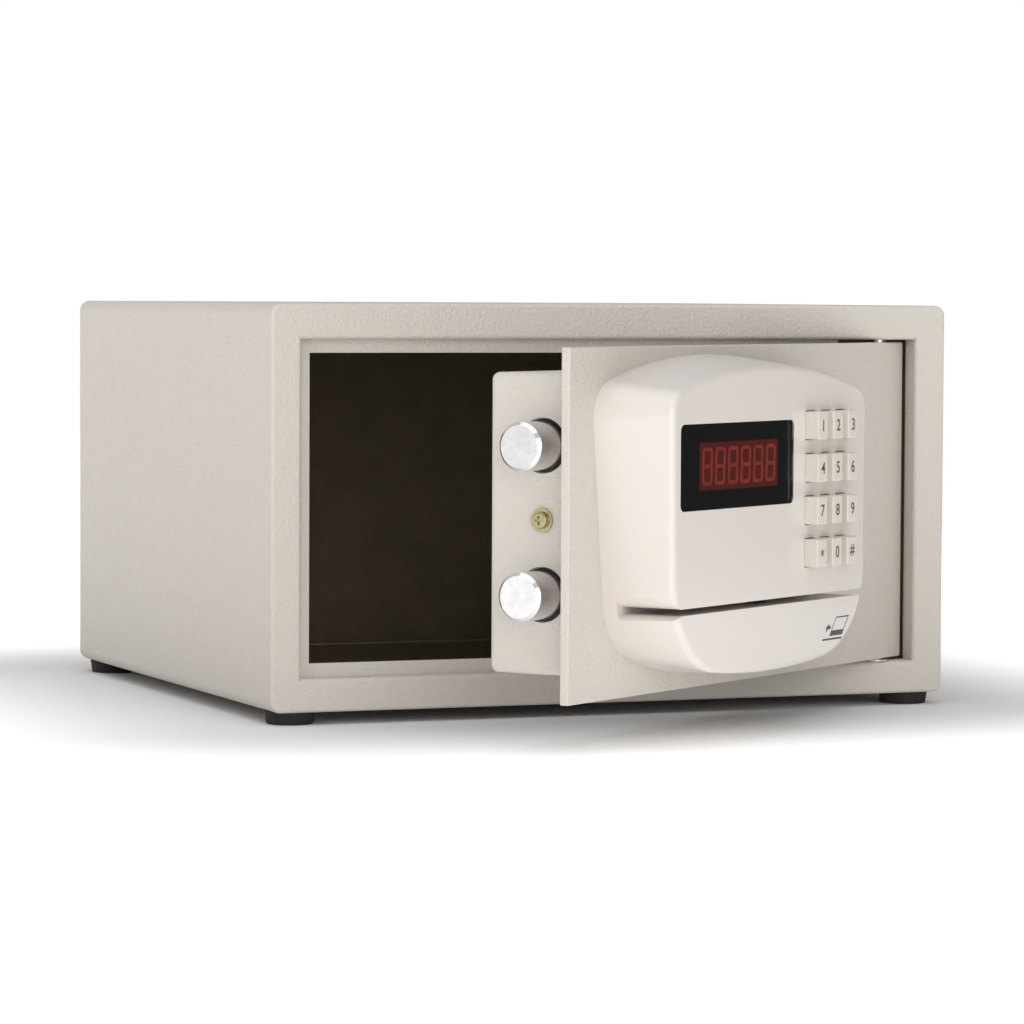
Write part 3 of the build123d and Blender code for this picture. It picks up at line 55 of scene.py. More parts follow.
# ---------------------------------------------------------------- the door's own axes at rest
ALONG = Vector(joints["bolt_throw"]["axis"])
INWARD = Vector(joints["press_1"]["axis"])
OUTWARD = -INWARD
UP = Vector((0.0, 0.0, 1.0))
DOOR_AXES = Matrix((ALONG, UP, OUTWARD)).transposed()


def door_box(name):
    """The ranges of a node on the door along the door, up, and out of its face."""
    points = [vertex.co for vertex in nodes[name].data.vertices]
    ranges = []
    for axis in (ALONG, UP, OUTWARD):
        places = [point.dot(axis) for point in points]
        ranges.append((min(places), max(places)))
    return ranges


def middle(pair):
    """The middle of a range."""
    return (pair[0] + pair[1]) / 2


def on_door(along, up, out):
    """A point given in the door's own axes."""
    return ALONG * along + UP * up + OUTWARD * out


# ================================================================ materials
def linear(red, green, blue):
    """A screen colour, 0 to 255 a channel, as a linear colour."""
    def channel(value):
        value /= 255
        return value / 12.92 if value <= 0.04045 else ((value + 0.055) / 1.055) ** 2.4
    return (channel(red), channel(green), channel(blue), 1.0)


def scaled(colour, factor):
    """A colour made lighter or darker."""
    return tuple(min(1.0, channel * factor) for channel in colour[:3]) + (1.0,)


class Surface:
    """A procedural material on one principled shader."""

    def __init__(self, name, colour, roughness, **sockets):
        self.material = bpy.data.materials.new(name)
        self.material.use_nodes = True
        self.tree = self.material.node_tree
        self.shader = self.tree.nodes["Principled BSDF"]
        self.colour = colour
        self.shader.inputs["Base Color"].default_value = colour
        self.shader.inputs["Roughness"].default_value = roughness
        for socket, value in sockets.items():
            self.shader.inputs[socket.replace("_", " ")].default_value = value
        self.place = self.node("ShaderNodeTexCoord").outputs["Object"]
        self.normal = None

    def node(self, kind, **settings):
        """Add a node and set its properties and unlinked inputs."""
        made = self.tree.nodes.new(kind)
        for key, value in settings.items():
            if hasattr(made, key):
                setattr(made, key, value)
            else:
                made.inputs[key.replace("_", " ")].default_value = value
        return made

    def link(self, output, target):
        """Join an output to an input."""
        self.tree.links.new(output, target)

    def stretched(self, scale, turn=(0.0, 0.0, 0.0)):
        """Object coordinates, turned and stretched."""
        mapping = self.node("ShaderNodeMapping")
        mapping.inputs["Rotation"].default_value = turn
        mapping.inputs["Scale"].default_value = scale
        self.link(self.place, mapping.inputs["Vector"])
        return mapping.outputs["Vector"]

    def noise(self, per_metre, detail=2.0, roughness=0.5, vector=None):
        """Noise with so many features to a metre, from 0 to 1."""
        made = self.node("ShaderNodeTexNoise", Scale=per_metre, Detail=detail, Roughness=roughness)
        self.link(vector or self.place, made.inputs["Vector"])
        return made.outputs["Fac"]

    def cells(self, per_metre, vector=None, feature="F1"):
        """Voronoi distance with so many cells to a metre."""
        made = self.node("ShaderNodeTexVoronoi", feature=feature, Scale=per_metre)
        self.link(vector or self.place, made.inputs["Vector"])
        return made.outputs["Distance"]

    def between(self, source, low, high, out_low=0.0, out_high=1.0):
        """Map one range of a value smoothly onto another."""
        made = self.node("ShaderNodeMapRange", interpolation_type="SMOOTHSTEP")
        for key, value in (("From Min", low), ("From Max", high),
                           ("To Min", out_low), ("To Max", out_high)):
            made.inputs[key].default_value = value
        self.link(source, made.inputs["Value"])
        return made.outputs["Result"]

    def tint(self, source, colour):
        """Mix another colour in by a varying amount."""
        mix = self.node("ShaderNodeMix", data_type="RGBA")
        base = self.shader.inputs["Base Color"]
        if base.is_linked:
            self.link(base.links[0].from_socket, mix.inputs["A"])
        else:
            mix.inputs["A"].default_value = self.colour
        mix.inputs["B"].default_value = colour
        self.link(source, mix.inputs["Factor"])
        self.link(mix.outputs["Result"], base)

    def mottle(self, per_metre, amount, detail=3.0):
        """Darken the colour slightly in soft patches."""
        patches = self.between(self.noise(per_metre, detail), 0.3, 0.75)
        self.tint(patches, scaled(self.colour, 1.0 - amount))

    def vary_roughness(self, per_metre, low, high, detail=3.0):
        """Let the gloss vary from place to place."""
        source = self.between(self.noise(per_metre, detail), 0.3, 0.7, low, high)
        self.link(source, self.shader.inputs["Roughness"])

    def bump(self, height, depth, strength=1.0):
        """Raise the surface by a height field, over the bumps already there."""
        made = self.node("ShaderNodeBump", Strength=strength, Distance=depth)
        self.link(height, made.inputs["Height"])
        if self.normal is not None:
            self.link(self.normal, made.inputs["Normal"])
        self.normal = made.outputs["Normal"]
        self.link(self.normal, self.shader.inputs["Normal"])


def powder_coat():
    """Fine-textured powder coat on the casing and the door."""
    coat = Surface("powder_coat", linear(206, 199, 191), 0.5, Specular_IOR_Level=0.45)
    coat.mottle(9.0, 0.012)
    coat.mottle(700.0, 0.045)
    coat.vary_roughness(180.0, 0.46, 0.56)
    coat.bump(coat.noise(520.0, 2.0, 0.5), 0.00065)
    coat.bump(coat.noise(1300.0, 1.0), 0.00016)
    return coat.material


def housing_plastic():
    """Moulded plastic of the lock housing, satin with a very fine grain."""
    plastic = Surface("housing_plastic", linear(219, 212, 205), 0.24, Specular_IOR_Level=0.55)
    plastic.shader.inputs["Subsurface Weight"].default_value = 0.06
    plastic.shader.inputs["Subsurface Scale"].default_value = 0.004
    plastic.shader.inputs["Coat Weight"].default_value = 0.25
    plastic.shader.inputs["Coat Roughness"].default_value = 0.1
    plastic.mottle(7.0, 0.012, detail=1.0)
    plastic.vary_roughness(9.0, 0.23, 0.27, detail=1.0)
    plastic.bump(plastic.noise(3000.0, 1.0), 0.000004)
    return plastic.material


def key_plastic():
    """Moulded keys, a little more yellow than the housing."""
    plastic = Surface("key_plastic", linear(216, 208, 197), 0.34, Specular_IOR_Level=0.5)
    plastic.shader.inputs["Subsurface Weight"].default_value = 0.08
    plastic.shader.inputs["Subsurface Scale"].default_value = 0.002
    plastic.mottle(160.0, 0.03)
    plastic.vary_roughness(300.0, 0.28, 0.42)
    plastic.bump(plastic.noise(1800.0, 2.0), 0.00001)
    return plastic.material


def smoked_window():
    """Smoked, polished window in front of the display."""
    glass = Surface("smoked_window", (0.32, 0.31, 0.31, 1.0), 0.04, IOR=1.49)
    glass.shader.inputs["Transmission Weight"].default_value = 1.0
    glass.vary_roughness(40.0, 0.004, 0.012)
    return glass.material


def black_plastic():
    """Black moulded plastic with a fine spark-eroded grain."""
    plastic = Surface("black_plastic", (0.018, 0.018, 0.019, 1.0), 0.5)
    plastic.mottle(200.0, 0.25)
    plastic.vary_roughness(150.0, 0.42, 0.6)
    plastic.bump(plastic.cells(2200.0), 0.00003)
    return plastic.material


def display_black():
    """Smooth black face of the display module, which the smoked window hides."""
    face = Surface("display_black", (0.0035, 0.0033, 0.0035, 1.0), 0.5, Specular_IOR_Level=0.12)
    face.mottle(90.0, 0.3)
    face.vary_roughness(120.0, 0.45, 0.6)
    return face.material


def rubber():
    """Black rubber with a dusty, uneven bloom."""
    skin = Surface("rubber", (0.022, 0.021, 0.020, 1.0), 0.72, Specular_IOR_Level=0.3)
    skin.tint(skin.between(skin.noise(130.0, 5.0), 0.52, 0.75, 0.0, 0.4), (0.07, 0.064, 0.058, 1.0))
    skin.vary_roughness(240.0, 0.62, 0.82)
    skin.bump(skin.noise(1300.0, 3.0), 0.00004)
    return skin.material


def chrome():
    """Chrome plate over a turned bolt."""
    plate = Surface("bolt_chrome", (0.74, 0.73, 0.73, 1.0), 0.16, Metallic=1.0)
    plate.mottle(240.0, 0.10)
    plate.vary_roughness(320.0, 0.13, 0.20)
    plate.bump(plate.noise(900.0, 3.0), 0.000006)
    return plate.material


def steel(name, colour, low, high, grain=1500.0):
    """Bare or plated steel with fine machining lines and slightly uneven gloss."""
    metal = Surface(name, colour, (low + high) / 2, Metallic=1.0)
    metal.mottle(120.0, 0.15, detail=5.0)
    metal.vary_roughness(260.0, low, high)
    lines = metal.noise(grain, 2.0, vector=metal.stretched((0.06, 0.06, 1.0)))
    metal.bump(lines, 0.00001)
    return metal.material


def yellow_zinc():
    """Yellow passivated zinc, with the faint green and pink clouds it has."""
    plate = Surface("yellow_zinc", (0.44, 0.37, 0.21, 1.0), 0.3, Metallic=1.0)
    plate.tint(plate.between(plate.noise(420.0, 2.0), 0.45, 0.65, 0.0, 0.5), (0.42, 0.50, 0.28, 1.0))
    plate.tint(plate.between(plate.noise(610.0, 2.0), 0.52, 0.7, 0.0, 0.45), (0.66, 0.40, 0.33, 1.0))
    plate.vary_roughness(500.0, 0.24, 0.4)
    plate.bump(plate.noise(2500.0, 2.0), 0.000008)
    return plate.material


def bronze():
    """Sintered bronze with open pores."""
    metal = Surface("bronze", (0.50, 0.31, 0.15, 1.0), 0.42, Metallic=1.0)
    metal.mottle(900.0, 0.35, detail=4.0)
    metal.vary_roughness(500.0, 0.35, 0.52)
    metal.bump(metal.cells(3500.0), 0.00003)
    return metal.material


def circuit_board():
    """Green solder resist with lighter tracks under it."""
    board = Surface("circuit_board", (0.012, 0.09, 0.035, 1.0), 0.3)
    tracks = board.cells(420.0, feature="DISTANCE_TO_EDGE")
    board.tint(board.between(tracks, 0.06, 0.03), (0.03, 0.19, 0.07, 1.0))
    board.vary_roughness(200.0, 0.24, 0.38)
    board.bump(board.between(tracks, 0.08, 0.02), 0.00003)
    return board.material


def cell_wrap():
    """Plain printed battery wrap: a dark sleeve with a copper-coloured end band."""
    wrap = Surface("cell_wrap", (0.020, 0.021, 0.024, 1.0), 0.3, Metallic=0.35)
    height = wrap.node("ShaderNodeSeparateXYZ")
    wrap.link(wrap.place, height.inputs["Vector"])
    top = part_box("batteries")[1][2]
    band = wrap.between(height.outputs["Z"], top - 17 * MM, top - 16.6 * MM)
    wrap.tint(band, (0.55, 0.27, 0.11, 1.0))
    wrap.vary_roughness(300.0, 0.22, 0.36)
    wrap.bump(wrap.noise(900.0, 2.0), 0.00001)
    return wrap.material


def felt(name, colour):
    """Needled fabric: matted fibres with lint, a soft sheen and no gloss."""
    cloth = Surface(name, colour, 0.95, Specular_IOR_Level=0.15)
    cloth.shader.inputs["Sheen Weight"].default_value = 0.35
    cloth.shader.inputs["Sheen Roughness"].default_value = 0.6
    cloth.shader.inputs["Sheen Tint"].default_value = scaled(colour, 2.5)
    fibres = cloth.noise(1500.0, 6.0, 0.75)
    cloth.tint(cloth.between(fibres, 0.5, 0.72, 0.0, 0.9), scaled(colour, 2.3))
    cloth.mottle(35.0, 0.1)
    cloth.bump(fibres, 0.0006)
    cloth.bump(cloth.noise(320.0, 3.0), 0.0005)
    return cloth.material


def ink():
    """Printed grey-blue ink on the keys and the housing."""
    print_ink = Surface("ink", linear(74, 74, 84), 0.4)
    print_ink.mottle(2600.0, 0.3)
    print_ink.vary_roughness(900.0, 0.35, 0.5)
    return print_ink.material


def glowing(name, colour, light, strength):
    """A surface of the display that gives light of its own, a little unevenly."""
    glow = Surface(name, colour, 0.35)
    glow.shader.inputs["Emission Color"].default_value = light
    level = glow.between(glow.noise(260.0, 2.0), 0.3, 0.7, strength * 0.8, strength * 1.2)
    glow.link(level, glow.shader.inputs["Emission Strength"])
    glow.mottle(500.0, 0.2)
    return glow.material


def weld_paint():
    """Painted-over weld bead: the same coat, a little glossier where it has pooled."""
    bead = Surface("weld_paint", linear(203, 195, 186), 0.4, Specular_IOR_Level=0.5)
    bead.mottle(300.0, 0.07)
    bead.vary_roughness(300.0, 0.32, 0.5)
    bead.bump(bead.noise(700.0, 2.0), 0.00015)
    return bead.material


FINISH = {
    "body_paint": powder_coat(),
    "housing_plastic": housing_plastic(),
    "key_plastic": key_plastic(),
    "dark_window": smoked_window(),
    "black_plastic": black_plastic(),
    "circuit_board": circuit_board(),
    "cell_wrap": cell_wrap(),
    "black_rubber": rubber(),
    "bolt_chrome": chrome(),
    "bright_steel": steel("bright_steel", (0.52, 0.51, 0.50, 1.0), 0.2, 0.34),
    "zinc_steel": steel("zinc_steel", (0.47, 0.49, 0.52, 1.0), 0.3, 0.45, grain=700.0),
    "yellow_zinc": yellow_zinc(),
    "bronze": bronze(),
    "carpet": felt("carpet", (0.215, 0.170, 0.118, 1.0)),
    "lining_felt": felt("lining_felt", (0.225, 0.178, 0.122, 1.0)),
}
INK = ink()
WELD_PAINT = weld_paint()

slot_of = {part["node"]: part["material_slot"] for part in frame["record"]["subparts"]}
for name, node in nodes.items():
    node.data.materials.clear()
    node.data.materials.append(FINISH[slot_of[name]])
nodes["led_display"].data.materials[0] = display_black()


# ================================================================ mesh helpers
def new_piece(name, mesh, material, body):
    """Put a mesh in the scene as a piece that moves with a body."""
    piece = bpy.data.objects.new(name, mesh)
    bpy.context.scene.collection.objects.link(piece)
    mesh.materials.append(material)
    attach(piece, body)
    return piece


def mesh_from(name, build):
    """Make a mesh with a function that fills a bmesh."""
    form = bmesh.new()
    build(form)
    bmesh.ops.recalc_face_normals(form, faces=form.faces)
    mesh = bpy.data.meshes.new(name)
    form.to_mesh(mesh)
    form.free()
    return mesh


def add_prism(form, outline, low, high, place):
    """Add a prism with a flat outline, between two heights, each point put in place."""
    rings = [[form.verts.new(place(x, y, level)) for x, y in outline] for level in (low, high)]
    form.faces.new(rings[0][::-1])
    form.faces.new(rings[1])
    count = len(outline)
    for i in range(count):
        after = (i + 1) % count
        form.faces.new((rings[0][i], rings[0][after], rings[1][after], rings[1][i]))


def rounded_outline(half_x, half_y, radius, steps=6):
    """The corners of a rounded rectangle about the origin."""
    outline = []
    for corner in range(4):
        turn = corner * pi / 2
        side_x = 1 if corner in (0, 3) else -1
        side_y = 1 if corner in (0, 1) else -1
        for i in range(steps + 1):
            angle = turn + i * pi / 2 / steps
            outline.append((side_x * (half_x - radius) + radius * cos(angle),
                            side_y * (half_y - radius) + radius * sin(angle)))
    return outline


# ================================================================ carpet and felt
FELT_CELL = 7.0 * MM
FELT_WAVE = 0.45 * MM
FELT_LINT = 0.25 * MM
FELT_WAVES_PER_METRE = 22.0
FELT_LINT_PER_METRE = 260.0
FELT_EDGE = 0.7 * MM
FELT_MERGE = 0.01 * MM
FELT_PANELS = {
    "floor_carpet": ((0, 1), 2, 1, "carpet", "body_shell"),
    "top_lining": ((0, 1), 2, -1, "lining_felt", "body_shell"),
    "left_lining": ((1, 2), 0, 1, "lining_felt", "body_shell"),
    "right_lining": ((1, 2), 0, -1, "lining_felt", "body_shell"),
    "back_lining": ((0, 2), 1, -1, "lining_felt", "back_panel"),
}


def felt_panel(name, across, depth_axis, side, slot, backing):
    """A panel cut to its place, holes and all, whose pile stands a little uneven, laid on its backing; the backing
    argument is not used, and every panel moves with the casing.
    """
    low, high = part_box(name)
    form = bmesh.new()
    form.from_mesh(nodes[name].data)
    bmesh.ops.remove_doubles(form, verts=form.verts, dist=FELT_MERGE)
    for axis in across:
        steps = round((high[axis] - low[axis]) / FELT_CELL)
        for i in range(1, steps):
            place = Vector((0.0, 0.0, 0.0))
            normal = Vector((0.0, 0.0, 0.0))
            place[axis] = low[axis] + (high[axis] - low[axis]) * i / steps
            normal[axis] = 1.0
            cut = form.verts[:] + form.edges[:] + form.faces[:]
            bmesh.ops.bisect_plane(form, geom=cut, plane_co=place, plane_no=normal, dist=0.001 * MM)
    shown = high[depth_axis] if side > 0 else low[depth_axis]
    for vertex in form.verts:
        if abs(vertex.co[depth_axis] - shown) < FELT_MERGE:
            wave = 0.5 + 0.5 * noise.noise(vertex.co * FELT_WAVES_PER_METRE)
            lint = 0.5 + 0.5 * noise.noise(vertex.co * FELT_LINT_PER_METRE)
            vertex.co[depth_axis] -= side * (FELT_WAVE * wave + FELT_LINT * lint)
    mesh = bpy.data.meshes.new(f"{name}_felt")
    form.to_mesh(mesh)
    form.free()
    piece = new_piece(f"{name}_felt", mesh, FINISH[slot], "casing")
    edge = piece.modifiers.new("worn_edge", "BEVEL")
    edge.width = FELT_EDGE
    edge.segments = 2
    edge.limit_method = "ANGLE"
    edge.angle_limit = radians(50)
    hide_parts(name)


for panel_name, panel in FELT_PANELS.items():
    felt_panel(panel_name, *panel)

# ================================================================ welds
BEAD_RADIUS = 1.5 * MM
BEAD_RIPPLE = 0.22 * MM
BEAD_PITCH = 2.6 * MM
BEAD_TAPER = 1.5 * MM
BEAD_TIP = 0.25
BEAD_SIDES = 5
BEAD_FROM_END = 2.0 * MM


def weld_bead(form, start, end, first, second):
    """A rippled fillet of weld in the corner between two faces, from start to end."""
    run = end - start
    steps = max(8, int(run.length / (BEAD_PITCH / 5)))
    rings = []
    for i in range(steps + 1):
        t = i / steps
        taper = min(1.0, min(t, 1 - t) * run.length / BEAD_TAPER + BEAD_TIP)
        swell = BEAD_RADIUS + BEAD_RIPPLE * sin(2 * pi * t * run.length / BEAD_PITCH)
        middle_point = start + run * t
        ring = [form.verts.new(middle_point)]
        for k in range(BEAD_SIDES + 1):
            angle = k * pi / 2 / BEAD_SIDES
            reach = swell * taper
            ring.append(form.verts.new(middle_point + (first * cos(angle) + second * sin(angle)) * reach))
        rings.append(ring)
    for near, far in zip(rings, rings[1:]):
        for k in range(len(near)):
            after = (k + 1) % len(near)
            form.faces.new((near[k], near[after], far[after], far[k]))
    form.faces.new(rings[0][::-1])
    form.faces.new(rings[-1])


def lug_welds(form):
    """The beads down both sides of the two hinge lugs, where they meet the door plate."""
    plate_back = door_box("door_plate")[2][0]
    for lug in ("lower_hinge_lug", "upper_hinge_lug"):
        along, up, _ = door_box(lug)
        for place, side in ((along[0], -1.0), (along[1], 1.0)):
            start = on_door(place, up[0] + BEAD_FROM_END, plate_back)
            end = on_door(place, up[1] - BEAD_FROM_END, plate_back)
            weld_bead(form, start, end, ALONG * side, INWARD)


new_piece("lug_welds", mesh_from("lug_welds", lug_welds), WELD_PAINT, "door")

# ================================================================ printed characters
KEY_CHARACTERS = {"star": "*", "hash": "#"}
CHARACTER_HEIGHT = 6.3 * MM
CHARACTER_DEPTH = 0.05 * MM
CHARACTER_WEIGHT = 0.1 * MM
CAPITAL_SHARE = 0.72


def print_character(key):
    """The character on top of one key, as a thin layer of ink."""
    along, up, out = door_box(f"key_{key}")
    text = bpy.data.curves.new(f"character_{key}", "FONT")
    text.body = KEY_CHARACTERS.get(key, key)
    text.align_x = "CENTER"
    text.align_y = "CENTER"
    text.size = CHARACTER_HEIGHT / CAPITAL_SHARE
    text.offset = CHARACTER_WEIGHT
    text.extrude = CHARACTER_DEPTH
    text.resolution_u = 6
    holder = bpy.data.objects.new("character_outline", text)
    bpy.context.scene.collection.objects.link(holder)
    graph = bpy.context.evaluated_depsgraph_get()
    mesh = bpy.data.meshes.new_from_object(holder.evaluated_get(graph))
    bpy.data.objects.remove(holder)
    xs = [vertex.co.x for vertex in mesh.vertices]
    ys = [vertex.co.y for vertex in mesh.vertices]
    centre = Vector((middle((min(xs), max(xs))), middle((min(ys), max(ys))), 0.0))
    spot = on_door(middle(along), middle(up), out[1])
    for vertex in mesh.vertices:
        vertex.co = DOOR_AXES @ (vertex.co - centre) + spot
    mesh.materials.clear()
    return new_piece(f"key_print_{key}", mesh, INK, f"button_{key}")


for key in ("1", "2", "3", "4", "5", "6", "7", "8", "9", "star", "0", "hash"):
    print_character(key)

# ================================================================ display
WINDOW = door_box("display_window")
MODULE = door_box("led_display")
PANEL_WIDTH = 82.6 * MM
PANEL_HEIGHT = 24.5 * MM
PANEL_SHIFT = 4.7 * MM
PANEL_CORNER = 0.8 * MM
FILTER_THICKNESS = 0.15 * MM
DIGIT_THICKNESS = 0.15 * MM
DIGIT_COUNT = 6
DIGIT_HEIGHT = 19.5 * MM
DIGIT_WIDTH = 10.4 * MM
DIGIT_PITCH = 13.4 * MM
DIGIT_LEAN = 0.03
SEGMENT = 1.9 * MM
SEGMENT_GAP = 0.05 * MM
SEGMENT_POINT = 0.3
PANEL_ALONG = middle(WINDOW[0]) + PANEL_SHIFT
PANEL_UP = middle(WINDOW[1])
PANEL_OUT = MODULE[2][1]


def on_panel(x, y, level):
    """A point on the display, from its middle, at a height in front of the module."""
    return on_door(PANEL_ALONG + x, PANEL_UP + y, PANEL_OUT + level)


def red_filter(form):
    """The red filter plate over the digits."""
    outline = rounded_outline(PANEL_WIDTH / 2, PANEL_HEIGHT / 2, PANEL_CORNER, 4)
    add_prism(form, outline, 0.0, FILTER_THICKNESS, on_panel)


def segment_outline(start, end):
    """A pointed bar between two places on a digit."""
    bar = Vector(end) - Vector(start)
    bar_length = bar.length
    bar.normalize()
    side = Vector((-bar.y, bar.x)) * SEGMENT / 2
    near = Vector(start) + bar * SEGMENT_GAP
    far = Vector(start) + bar * (bar_length - SEGMENT_GAP)
    tip = bar * SEGMENT * SEGMENT_POINT
    return [near, near + tip + side, far - tip + side, far, far - tip - side, near + tip - side]


def digits(form):
    """Six leaning seven-segment figures, all of their bars showing."""
    x = DIGIT_WIDTH / 2 - SEGMENT / 2
    y = DIGIT_HEIGHT / 2 - SEGMENT / 2
    corners = {"a": (-x, y), "b": (x, y), "c": (-x, 0), "d": (x, 0), "e": (-x, -y), "f": (x, -y)}
    for i in range(DIGIT_COUNT):
        shift = (i - (DIGIT_COUNT - 1) / 2) * DIGIT_PITCH
        for start, end in ("ab", "cd", "ef", "ac", "bd", "ce", "df"):
            outline = [(shift + p.x + p.y * DIGIT_LEAN, p.y)
                       for p in segment_outline(corners[start], corners[end])]
            add_prism(form, outline, FILTER_THICKNESS, FILTER_THICKNESS + DIGIT_THICKNESS, on_panel)


FILTER_RED = glowing("filter_red", (0.16, 0.010, 0.006, 1.0), (1.0, 0.09, 0.06, 1.0), 0.20)
SEGMENT_RED = glowing("segment_red", (0.5, 0.08, 0.05, 1.0), (1.0, 0.12, 0.08, 1.0), 0.60)
new_piece("display_filter", mesh_from("display_filter", red_filter), FILTER_RED, "door")
new_piece("display_digits", mesh_from("display_digits", digits), SEGMENT_RED, "door")

# ================================================================ card pictogram
READER = door_box("reader_housing")
SIGN_FROM_EDGE = 34.5 * MM
SIGN_LEAN = 0.8
SIGN_UP = 2.0 * MM
SIGN_SUNK = -0.03 * MM
SIGN_PROUD = 0.04 * MM
SIGN_LINE = 0.7 * MM
SIGN_STRIPE = 2.8 * MM


def card_sign(form):
    """A plain drawing of a card with a stripe over a line, and an arrow that points along."""
    face = READER[2][1]
    centre_along = READER[0][1] - SIGN_FROM_EDGE
    centre_up = middle(READER[1]) + SIGN_UP

    def place(x, y, level):
        return on_door(centre_along + x + y * SIGN_LEAN, centre_up + y, face + level)

    def bar(x0, y0, x1, y1):
        add_prism(form, [(x0, y0), (x1, y0), (x1, y1), (x0, y1)], SIGN_SUNK, SIGN_PROUD, place)

    left, right, low, high = -1.5 * MM, 13.0 * MM, -4.5 * MM, 5.5 * MM
    bar(left, low, left + SIGN_LINE, high)
    bar(right - SIGN_LINE, low, right, high)
    bar(left + SIGN_LINE, high - SIGN_LINE, right - SIGN_LINE, high)
    bar(left + SIGN_LINE, low, right - SIGN_LINE, low + SIGN_STRIPE)
    bar(left - 6.5 * MM, low - 2.2 * MM, right + 1.0 * MM, low - 1.2 * MM)
    arrow = [(-9.0, 0.0), (-6.2, 2.4), (-6.2, 0.8), (-3.4, 0.8), (-3.4, -0.8), (-6.2, -0.8),
             (-6.2, -2.4)]
    add_prism(form, [(x * MM, y * MM) for x, y in arrow], SIGN_SUNK, SIGN_PROUD, place)


new_piece("card_sign", mesh_from("card_sign", card_sign), INK, "door")

# ================================================================ floor, camera and light
FLOOR_LEFT, FLOOR_RIGHT, FLOOR_REACH = -12.0, 1.05, 12.0
SHADOW_HALF = (0.20, 0.19, 0.0)
GLOW_FROM, GLOW_FULL, GLOW = 0.01, 0.32, 0.78


def floor_sheet(form):
    """White paper that ends outside the picture on the right, so the window reflects the dark."""
    corners = [(FLOOR_LEFT, -FLOOR_REACH), (FLOOR_RIGHT, -FLOOR_REACH),
               (FLOOR_RIGHT, FLOOR_REACH), (FLOOR_LEFT, FLOOR_REACH)]
    form.faces.new([form.verts.new((x, y, 0.0)) for x, y in corners])


floor_mesh = mesh_from("studio_floor", floor_sheet)
floor = bpy.data.objects.new("studio_floor", floor_mesh)
bpy.context.scene.collection.objects.link(floor)
floor_finish = Surface("studio_floor", (0.80, 0.80, 0.80, 1.0), 0.9, Specular_IOR_Level=0.1)
floor_finish.mottle(0.5, 0.01)
floor_outside = floor_finish.node("ShaderNodeVectorMath", operation="ABSOLUTE")
floor_finish.link(floor_finish.place, floor_outside.inputs[0])
floor_past = floor_finish.node("ShaderNodeVectorMath", operation="SUBTRACT")
floor_past.inputs[1].default_value = SHADOW_HALF
floor_finish.link(floor_outside.outputs["Vector"], floor_past.inputs[0])
floor_beyond = floor_finish.node("ShaderNodeVectorMath", operation="MAXIMUM")
floor_beyond.inputs[1].default_value = (0.0, 0.0, 0.0)
floor_finish.link(floor_past.outputs["Vector"], floor_beyond.inputs[0])
floor_away = floor_finish.node("ShaderNodeVectorMath", operation="LENGTH")
floor_finish.link(floor_beyond.outputs["Vector"], floor_away.inputs[0])
floor_glow = floor_finish.between(floor_away.outputs["Value"], GLOW_FROM, GLOW_FULL, 0.0, GLOW)
floor_finish.shader.inputs["Emission Color"].default_value = (1.0, 1.0, 1.0, 1.0)
floor_finish.link(floor_glow, floor_finish.shader.inputs["Emission Strength"])
floor_mesh.materials.append(floor_finish.material)

CAMERA_PLACE = Vector((-0.9395, -2.3655, 0.2347))
CAMERA_YAW = 21.883
CAMERA_PITCH = -2.934
CAMERA_ROLL = 0.29
CAMERA_LENS = 150.26


def aim_camera():
    """Put the camera where the object is seen as in its picture."""
    yaw, pitch, roll = radians(CAMERA_YAW), radians(CAMERA_PITCH), radians(CAMERA_ROLL)
    forward = Vector((sin(yaw) * cos(pitch), cos(yaw) * cos(pitch), sin(pitch)))
    level = Vector((cos(yaw), -sin(yaw), 0.0))
    above = level.cross(forward)
    right = level * cos(roll) + above * sin(roll)
    up = above * cos(roll) - level * sin(roll)
    data = bpy.data.cameras.new("camera")
    data.lens = CAMERA_LENS
    data.sensor_width = 36.0
    data.clip_end = 50.0
    camera = bpy.data.objects.new("camera", data)
    bpy.context.scene.collection.objects.link(camera)
    turned = Matrix((right, up, -forward)).transposed().to_4x4()
    camera.matrix_world = Matrix.Translation(CAMERA_PLACE) @ turned
    bpy.context.scene.camera = camera


aim_camera()


def soft_light(name, place, target, size, power):
    """A large white square light that points at a place."""
    data = bpy.data.lights.new(name, "AREA")
    data.shape = "SQUARE"
    data.size = size
    data.energy = power
    light = bpy.data.objects.new(name, data)
    bpy.context.scene.collection.objects.link(light)
    light.location = place
    light.rotation_euler = (Vector(target) - Vector(place)).to_track_quat("-Z", "Y").to_euler()


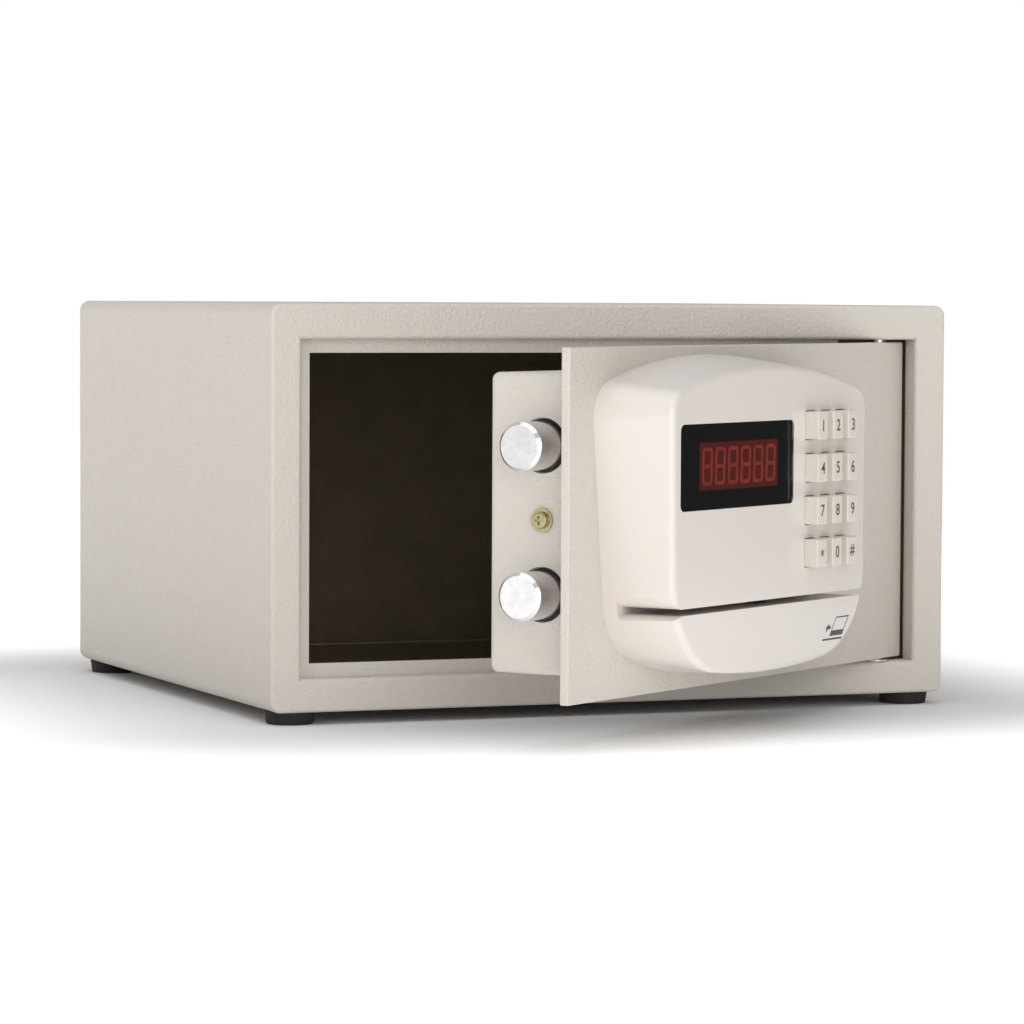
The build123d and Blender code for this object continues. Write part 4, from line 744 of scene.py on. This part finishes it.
soft_light("overhead", place=(-0.3, -0.7, 2.6), target=(0.0, 0.0, 0.0), size=2.8, power=21.0)
soft_light("front", place=(-0.35, -3.4, 0.7), target=(0.0, 0.0, 0.1), size=2.0, power=31.0)


DARK_SIDE = (1.0, 0.06, -0.05)
DARK_FROM, DARK_FULL = 0.15, 0.80
STUDIO_LEVEL, DARK_LEVEL = 0.69, 0.10


def light_the_world():
    """A white studio that darkens to the right, which is what the polished window mirrors."""
    world = bpy.data.worlds.new("studio")
    bpy.context.scene.world = world
    world.use_nodes = True
    tree = world.node_tree
    background = tree.nodes["Background"]
    output = tree.nodes["World Output"]
    direction = tree.nodes.new("ShaderNodeTexCoord").outputs["Generated"]
    dark_side = tree.nodes.new("ShaderNodeVectorMath")
    dark_side.operation = "DOT_PRODUCT"
    dark_side.inputs[1].default_value = DARK_SIDE
    tree.links.new(direction, dark_side.inputs[0])
    level = tree.nodes.new("ShaderNodeMapRange")
    level.interpolation_type = "SMOOTHSTEP"
    level.inputs["From Min"].default_value = DARK_FROM
    level.inputs["From Max"].default_value = DARK_FULL
    level.inputs["To Min"].default_value = STUDIO_LEVEL
    level.inputs["To Max"].default_value = DARK_LEVEL
    tree.links.new(dark_side.outputs["Value"], level.inputs["Value"])
    tree.links.new(level.outputs["Result"], background.inputs["Strength"])
    backdrop = tree.nodes.new("ShaderNodeBackground")
    backdrop.inputs["Strength"].default_value = 1.0
    backdrop.inputs["Color"].default_value = (1.0, 1.0, 1.0, 1.0)
    background.inputs["Color"].default_value = (1.0, 1.0, 1.0, 1.0)
    seen = tree.nodes.new("ShaderNodeLightPath")
    mix = tree.nodes.new("ShaderNodeMixShader")
    tree.links.new(seen.outputs["Is Camera Ray"], mix.inputs["Fac"])
    tree.links.new(background.outputs["Background"], mix.inputs[1])
    tree.links.new(backdrop.outputs["Background"], mix.inputs[2])
    tree.links.new(mix.outputs["Shader"], output.inputs["Surface"])


light_the_world()
bpy.context.scene.view_settings.view_transform = "Standard"
